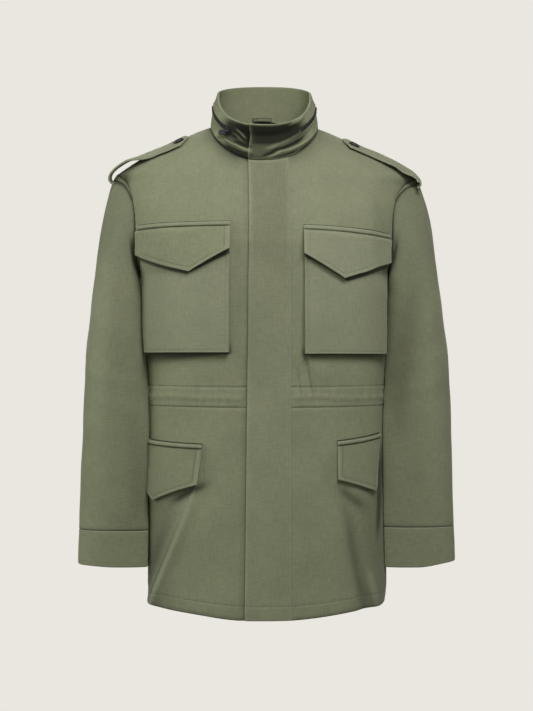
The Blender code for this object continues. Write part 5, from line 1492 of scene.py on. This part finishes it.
# ---------------------------------------------------------------- floor, lights and camera
# A pale seamless studio floor and backdrop, soft light from above in front, the camera level with the waist.

CAMERA_LEVEL = -0.365
CAMERA_AWAY = 2.6
PIXEL = 0.0016  # metres across one pixel of the picture at the jacket's middle
PICTURE_HEIGHT = 711  # pixels
PALE = "#EAE7E0"
FLOOR_LEVEL = -1.05
FLOOR_HALF = 6.0

studio = bpy.data.worlds.new("studio")
bpy.context.scene.world = studio
studio.use_nodes = True
backdrop = studio.node_tree.nodes["Background"]
backdrop.inputs["Color"].default_value = colour(PALE)
backdrop.inputs["Strength"].default_value = 1.0
studio.cycles_visibility.diffuse = False
studio.cycles_visibility.glossy = True

floor_finish, tree, shader = new_finish("seamless_paper")
tree.nodes.remove(shader)
paper = add_node(tree, "ShaderNodeEmission", Color=colour(PALE), Strength=1.0)
tree.links.new(paper.outputs[0], tree.nodes["Material Output"].inputs["Surface"])
corner_x, corner_y = np.meshgrid((-FLOOR_HALF, FLOOR_HALF), (-FLOOR_HALF, FLOOR_HALF), indexing="ij")
floor_points = np.stack((corner_x, corner_y, np.full((2, 2), FLOOR_LEVEL)), axis=-1)
floor = add_mesh("floor", floor_points, [(0, 2, 3, 1)], floor_finish)
floor.visible_diffuse = False
floor.visible_shadow = False

LIGHTS = rows_of(
    "name place aim size watts tint",
    ("key_softbox", (0.50, -1.70, 1.05), (0.0, 0.0, -0.25), 0.9, 36.0, "#F7EFFF"),
    ("front_fill", (-0.5, -3.0, 0.1), (0.0, 0.0, -0.40), 2.0, 19.0, "#FFFFF4"),
    ("top_fill", (0.0, 0.2, 2.2), (0.0, 0.0, -0.3), 1.6, 7.0, "#F3EFFF"),
    ("left_fill", (-2.6, -0.5, 0.3), (0.0, 0.0, -0.4), 1.6, 34.0, "#FBFAFF"),
    ("right_fill", (2.6, -0.4, 0.3), (0.0, 0.0, -0.4), 1.6, 6.0, "#FFFDFB"),
    ("back_fill", (0.0, 2.8, 0.8), (0.0, 0.0, -0.4), 2.2, 40.0, "#FFFFFF"),
)
for light in LIGHTS:
    lamp = bpy.data.lights.new(light.name, "AREA")
    lamp.shape, lamp.size, lamp.energy = "SQUARE", light.size, light.watts
    lamp.color = colour(light.tint)[:3]
    made = bpy.data.objects.new(light.name, lamp)
    made.location = light.place
    way = np.array(light.aim) - np.array(light.place)
    made.rotation_euler = (math.atan2(math.hypot(way[0], way[1]), -way[2]), 0.0, math.atan2(-way[0], way[1]))
    bpy.context.scene.collection.objects.link(made)

camera_data = bpy.data.cameras.new("camera")
camera = bpy.data.objects.new("camera", camera_data)
camera_data.sensor_fit = "VERTICAL"
camera_data.angle = 2 * math.atan(PICTURE_HEIGHT * PIXEL / 2 / CAMERA_AWAY)
camera.location = (0.0, -CAMERA_AWAY, CAMERA_LEVEL)
camera.rotation_euler = (math.radians(90), 0.0, 0.0)
bpy.context.scene.collection.objects.link(camera)
bpy.context.scene.camera = camera
bpy.context.scene.view_settings.view_transform = "Standard"
